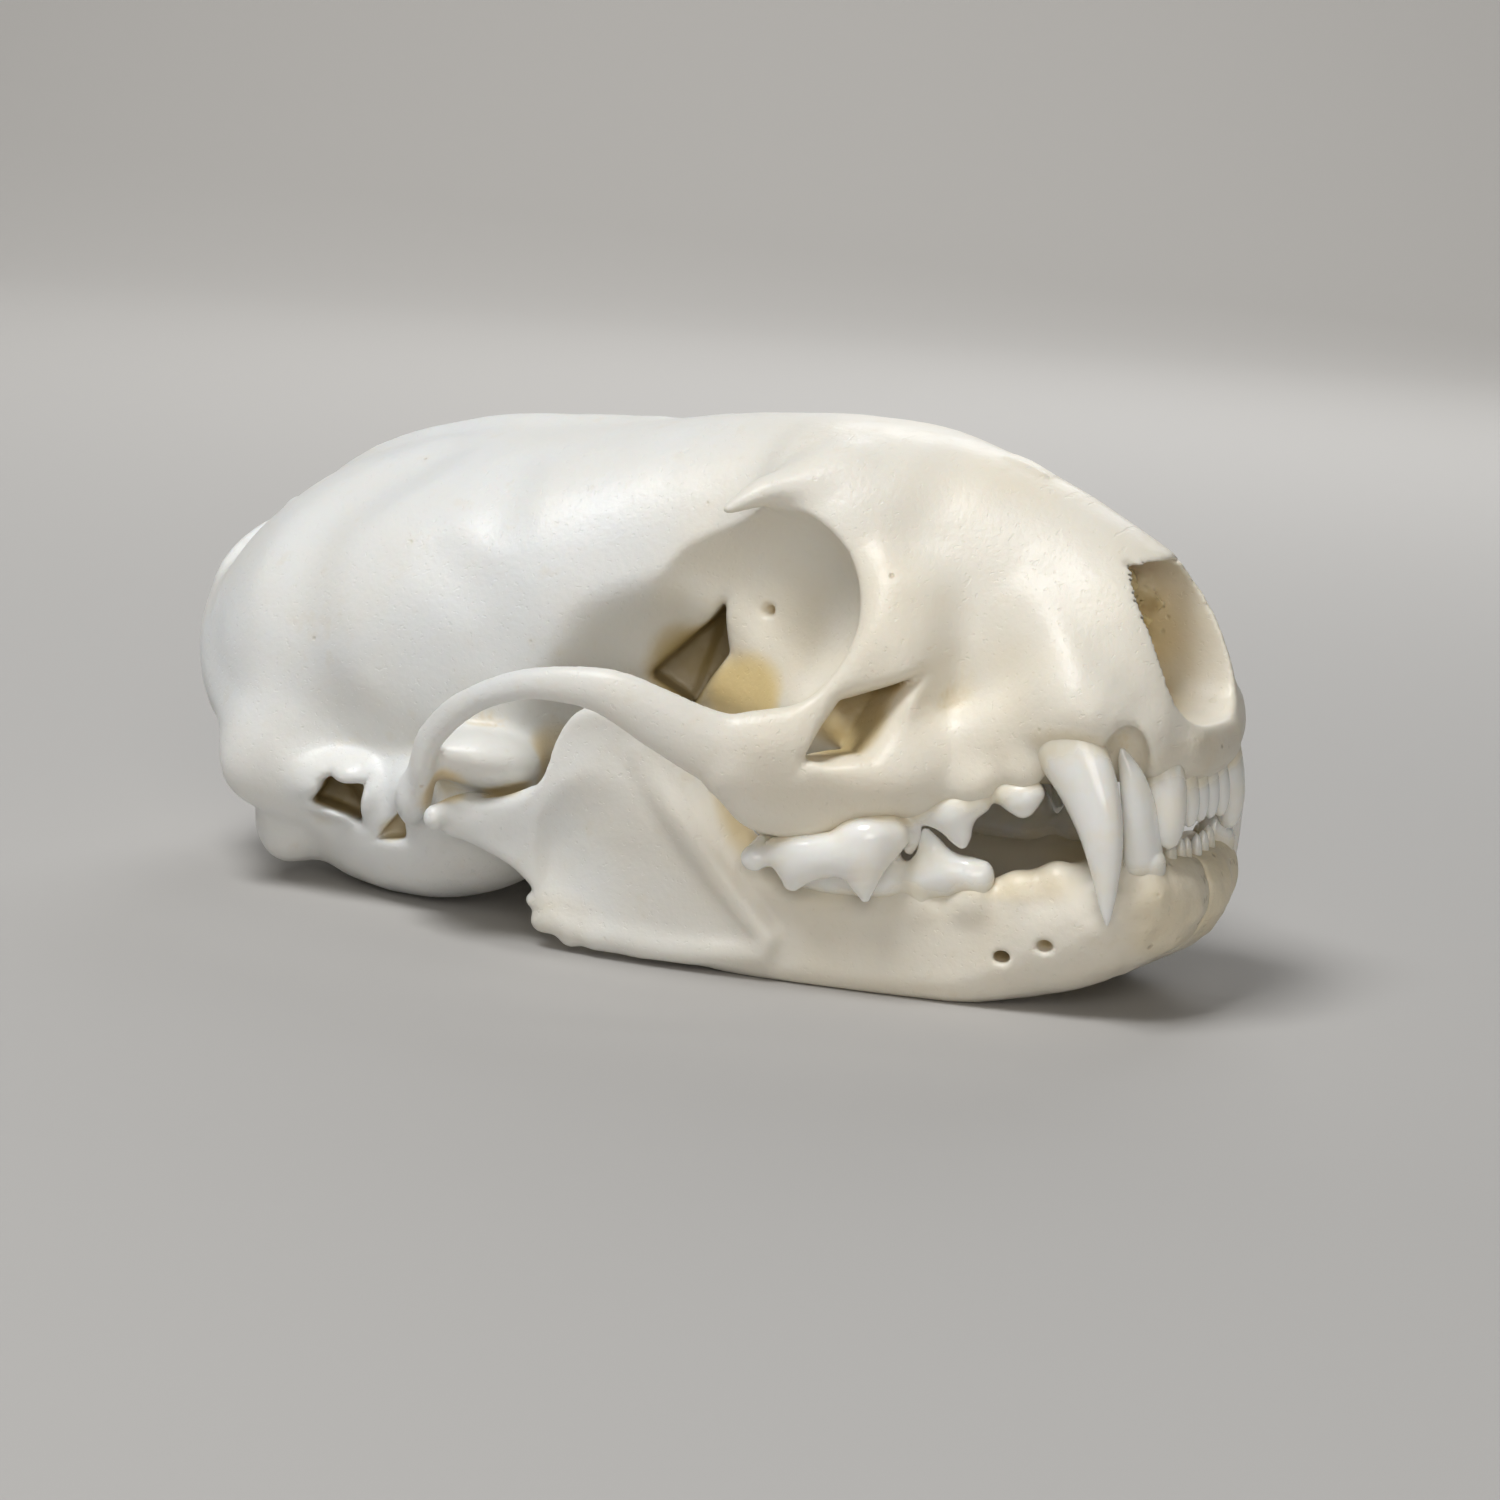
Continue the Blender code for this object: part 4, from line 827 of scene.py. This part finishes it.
# rough edge of the hooked corner, and the pit for the chewing muscle
for knob, size in (((-9.1, -0.8, 0.95), 0.38), ((-8.95, -1.9, 0.5), 0.28), ((-9.25, -0.5, 1.7), 0.3)):
    jaw.join(oval(knob, (size, 1.2 * size, size)), 0.35)
jaw.cut(oval((-10.15, -3.9, 3.8), (1.25, 3.3, 3.1), turned(0, 0, -13)), 0.45)
# socket of the canine tooth and the swollen chin
jaw.join(oval((-2.8, -21.1, 4.5), (1.05, 1.15, 1.35)), 0.8)
jaw.join(oval((-1.2, -21.7, 4.2), (1.2, 0.75, 1.2)), 0.8)
# nerve holes, and swellings over the roots of the cheek teeth
for hole_y, hole_x, hole_z in ((-17.1, -5.0, 2.0), (-18.7, -5.0, 2.6)):
    jaw.cut(oval((hole_x, hole_y, hole_z), (0.9, 0.3, 0.22), turned(0, 0, 25)), 0.12)
for tooth_x, tooth_y, tooth_z in ((-5.7, -13.9, 3.6), (-5.3, -15.9, 3.9), (-4.5, -17.3, 4.3), (-4.0, -18.5, 4.8)):
    jaw.join(oval((tooth_x, tooth_y, tooth_z), (0.5, 0.6, 0.6)), 0.8)
# flat joint of the chin
part, (x, _, _) = jaw.window((-14, -30, -2), (2, 10, 12))
jaw.value[part] = np.maximum(jaw.value[part], x + CHIN_GAP)


def half_jaw(name, bone_node, side, seed):
    """One bone of the jaw, roughened with its own seed, most at the chin, and mirrored for the left side"""
    chin = np.clip(CHIN_START - (jaw.low[1] + jaw.step * np.arange(jaw.value.shape[1])), 0, 1)[None, :, None]
    field = jaw.value + 0.03 * noise(jaw.value.shape, jaw.step, 2.2, seed)
    field += (0.012 + 0.07 * chin) * noise(jaw.value.shape, jaw.step, 0.6, seed + 1)
    field = np.maximum(field, FLOOR_LEVEL - (jaw.low[2] + jaw.step * np.arange(field.shape[2])))
    points, quads = surface(field, jaw.low, jaw.step)
    found = marks(points, field, jaw.low, jaw.step, 1.2)
    if side > 0:
        points, quads = mirrored(points, quads)
    piece = body(name, points, quads, found, JAW_TRIANGLES)
    piece.data.materials.append(bone)
    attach(piece, "root")
    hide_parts(bone_node)


half_jaw("jaw_right", "mandible_right", -1, 11)
half_jaw("jaw_left", "mandible_left", 1, 21)

# Lower teeth: smooth enamel crowns, their roots sunk in the two jaw bones. Each side has three small incisors, the
# canine, the fourth premolar, the cutting tooth and a last molar. Two small premolars are left on the left side only.

LOWER_TOOTH_TRIANGLES = 60000
LOWER_FANGS = (
    (-0.42, -21.6, 5.2, 6.3, 0.22, 0.28, 0.0, 0.0, 1.0, 0.5),
    (-0.95, -21.6, 5.2, 6.35, 0.24, 0.3, 0.0, 0.0, 1.0, 0.5),
    (-1.6, -21.5, 5.2, 6.4, 0.3, 0.34, 0.0, 0.0, 1.0, 0.5),
)
LOWER_CROWNS = (
    # canine
    ((-2.75, -21.0, 4.0, 0.6, 0.76), (-2.85, -21.15, 5.3, 0.62, 0.8), (-3.05, -21.15, 6.2, 0.6, 0.78),
     (-3.4, -21.05, 7.5, 0.5, 0.66), (-3.7, -20.85, 8.6, 0.36, 0.47), (-3.9, -20.6, 9.3, 0.21, 0.27),
     (-4.02, -20.48, 9.68, 0.08, 0.1)),
    # fourth premolar, with the necks of its two roots
    ((-5.8, -13.7, 4.25, 0.45, 0.6), (-5.65, -14.5, 4.5, 0.55, 0.8), (-5.4, -15.5, 4.65, 0.55, 0.7),
     (-5.2, -16.15, 4.65, 0.46, 0.6)),
    ((-5.85, -14.0, 4.2, 0.42, 0.5), (-5.85, -14.2, 3.4, 0.34, 0.4)),
    ((-5.3, -15.9, 4.6, 0.4, 0.45), (-5.3, -16.2, 4.0, 0.3, 0.35)),
    ((-5.65, -14.7, 4.6, 0.5, 0.95), (-5.7, -14.4, 5.4, 0.36, 0.52), (-5.75, -14.15, 6.0, 0.14, 0.17)),
    # carnassial
    ((-6.5, -9.4, 3.8, 0.5, 0.5), (-6.2, -11.2, 4.0, 0.55, 0.8), (-5.8, -13.2, 4.0, 0.5, 0.6)),
    ((-6.1, -11.3, 4.2, 0.5, 0.9), (-6.1, -11.3, 5.0, 0.36, 0.6), (-6.1, -11.3, 5.6, 0.15, 0.25)),
    ((-5.9, -12.7, 4.2, 0.5, 0.9), (-5.9, -12.6, 5.2, 0.36, 0.6), (-5.9, -12.5, 5.9, 0.15, 0.25)),
    # last molar
    ((-6.8, -8.1, 3.7, 0.4, 0.4), (-6.7, -8.9, 3.7, 0.4, 0.4)),
)
SMALL_PREMOLARS = (
    ((-4.2, -17.5, 5.1, 0.34, 0.4), (-3.85, -18.6, 5.2, 0.34, 0.4)),
    ((-4.0, -18.1, 5.2, 0.3, 0.4), (-4.0, -18.2, 5.8, 0.08, 0.1)),
    ((-4.7, -16.0, 4.7, 0.36, 0.4), (-4.35, -17.3, 4.7, 0.36, 0.4)),
    ((-4.5, -16.7, 4.8, 0.32, 0.5), (-4.5, -16.8, 5.7, 0.08, 0.1)),
)


def lower_teeth(name, side, crowns, bone_node):
    """The teeth of one jaw bone, mirrored for the left side"""
    points, quads = tooth_rows(LOWER_FANGS, crowns, (-7.6, -22.8, 2.9), (0.05, -7.2, 10.2))
    depth = looked_up(jaw.value, jaw.low, jaw.step, points)
    if side > 0:
        points, quads = mirrored(points, quads)
    piece = body(name, points, quads, rooted(depth), LOWER_TOOTH_TRIANGLES)
    piece.data.materials.append(enamel)
    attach(piece, "root")
    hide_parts(bone_node)


lower_teeth("lower_teeth_right", -1, LOWER_CROWNS, "mandible_right")
lower_teeth("lower_teeth_left", 1, LOWER_CROWNS + SMALL_PREMOLARS, "mandible_left")

# Stage: a floor of pale paper that sweeps up into a backdrop far behind, soft daylight from above, a dimmer room
# light, and the camera, fitted to the landmarks of the photograph.

# metres: where the floor starts, where it bends up and how sharply, its half width and the top of the backdrop
SWEEP_NEAR, SWEEP_START, SWEEP_RADIUS, SWEEP_WIDTH, SWEEP_TOP = -0.9, 0.28, 0.35, 1.6, 1.4
bend = np.linspace(0, math.pi / 2, 25)
reach = np.concatenate([[SWEEP_NEAR], SWEEP_START + SWEEP_RADIUS * np.sin(bend), [SWEEP_START + SWEEP_RADIUS]])
rise = np.concatenate([[0.0], SWEEP_RADIUS * (1 - np.cos(bend)), [SWEEP_TOP]])
away = np.array([0.8632, 0.5049])
across = np.array([away[1], -away[0]])
rows = np.array([[*(away * r + across * w), h] for w in (-SWEEP_WIDTH, SWEEP_WIDTH) for r, h in zip(reach, rise)])
count = len(reach)
faces = [(i, i + 1, i + 1 + count, i + count) for i in range(count - 1)]
sweep = bpy.data.meshes.new("floor")
sweep.from_pydata(rows.tolist(), [], [face[::-1] for face in faces])
sweep.polygons.foreach_set("use_smooth", np.ones(len(faces), bool))
floor = bpy.data.objects.new("floor", sweep)
bpy.context.scene.collection.objects.link(floor)
pale = bpy.data.materials.new("pale paper")
pale.use_nodes = True
shader = pale.node_tree.nodes["Principled BSDF"]
shader.inputs["Base Color"].default_value = (0.48, 0.465, 0.445, 1)
shader.inputs["Roughness"].default_value = 0.9
sweep.materials.append(pale)


def lamp(name, place, target, size, watts, colour):
    """Square lamp of a size in metres and a power in watts, at a place and turned to a target"""
    data = bpy.data.lights.new(name, "AREA")
    data.size, data.energy, data.color = size, watts, colour
    light = bpy.data.objects.new(name, data)
    light.location = place
    light.rotation_euler = (Vector(target) - Vector(place)).to_track_quat("-Z", "Y").to_euler()
    bpy.context.scene.collection.objects.link(light)


middle = (0, 0, 0.009)
lamp("window", (-0.12, 0.03, 0.26), middle, 0.11, 0.58, (0.98, 0.99, 1.0))
lamp("room", (-0.26, -0.16, 0.12), middle, 0.16, 0.26, (1.0, 0.96, 0.90))
lamp("rear", (0.22, 0.06, 0.16), middle, 0.14, 0.16, (0.93, 0.96, 1.0))
lamp("backdrop", (0.16, 0.09, 0.36), (0.50, 0.30, 0.12), 0.20, 1.3, (1.0, 0.99, 0.97))
world = bpy.data.worlds.new("room")
bpy.context.scene.world = world
world.use_nodes = True
sky = world.node_tree.nodes["Background"]
sky.inputs["Color"].default_value = (0.80, 0.85, 0.92, 1)
sky.inputs["Strength"].default_value = 0.08
bpy.context.scene.view_settings.view_transform = "Standard"

camera_data = bpy.data.cameras.new("camera")
camera_data.sensor_width = 36.0
camera_data.lens = 90.96
camera_data.clip_start = 0.01
camera = bpy.data.objects.new("camera", camera_data)
bpy.context.scene.collection.objects.link(camera)
right_way = Vector((0.51504, -0.85441, 0.06874)).normalized()
forward = Vector((0.84775, 0.49589, -0.18819)).normalized()
upward = right_way.cross(forward)
camera_turn = Matrix((right_way, upward, -forward)).transposed().to_4x4()
camera.matrix_world = Matrix.Translation((-0.119728, -0.071761, 0.033036)) @ camera_turn
bpy.context.scene.camera = camera
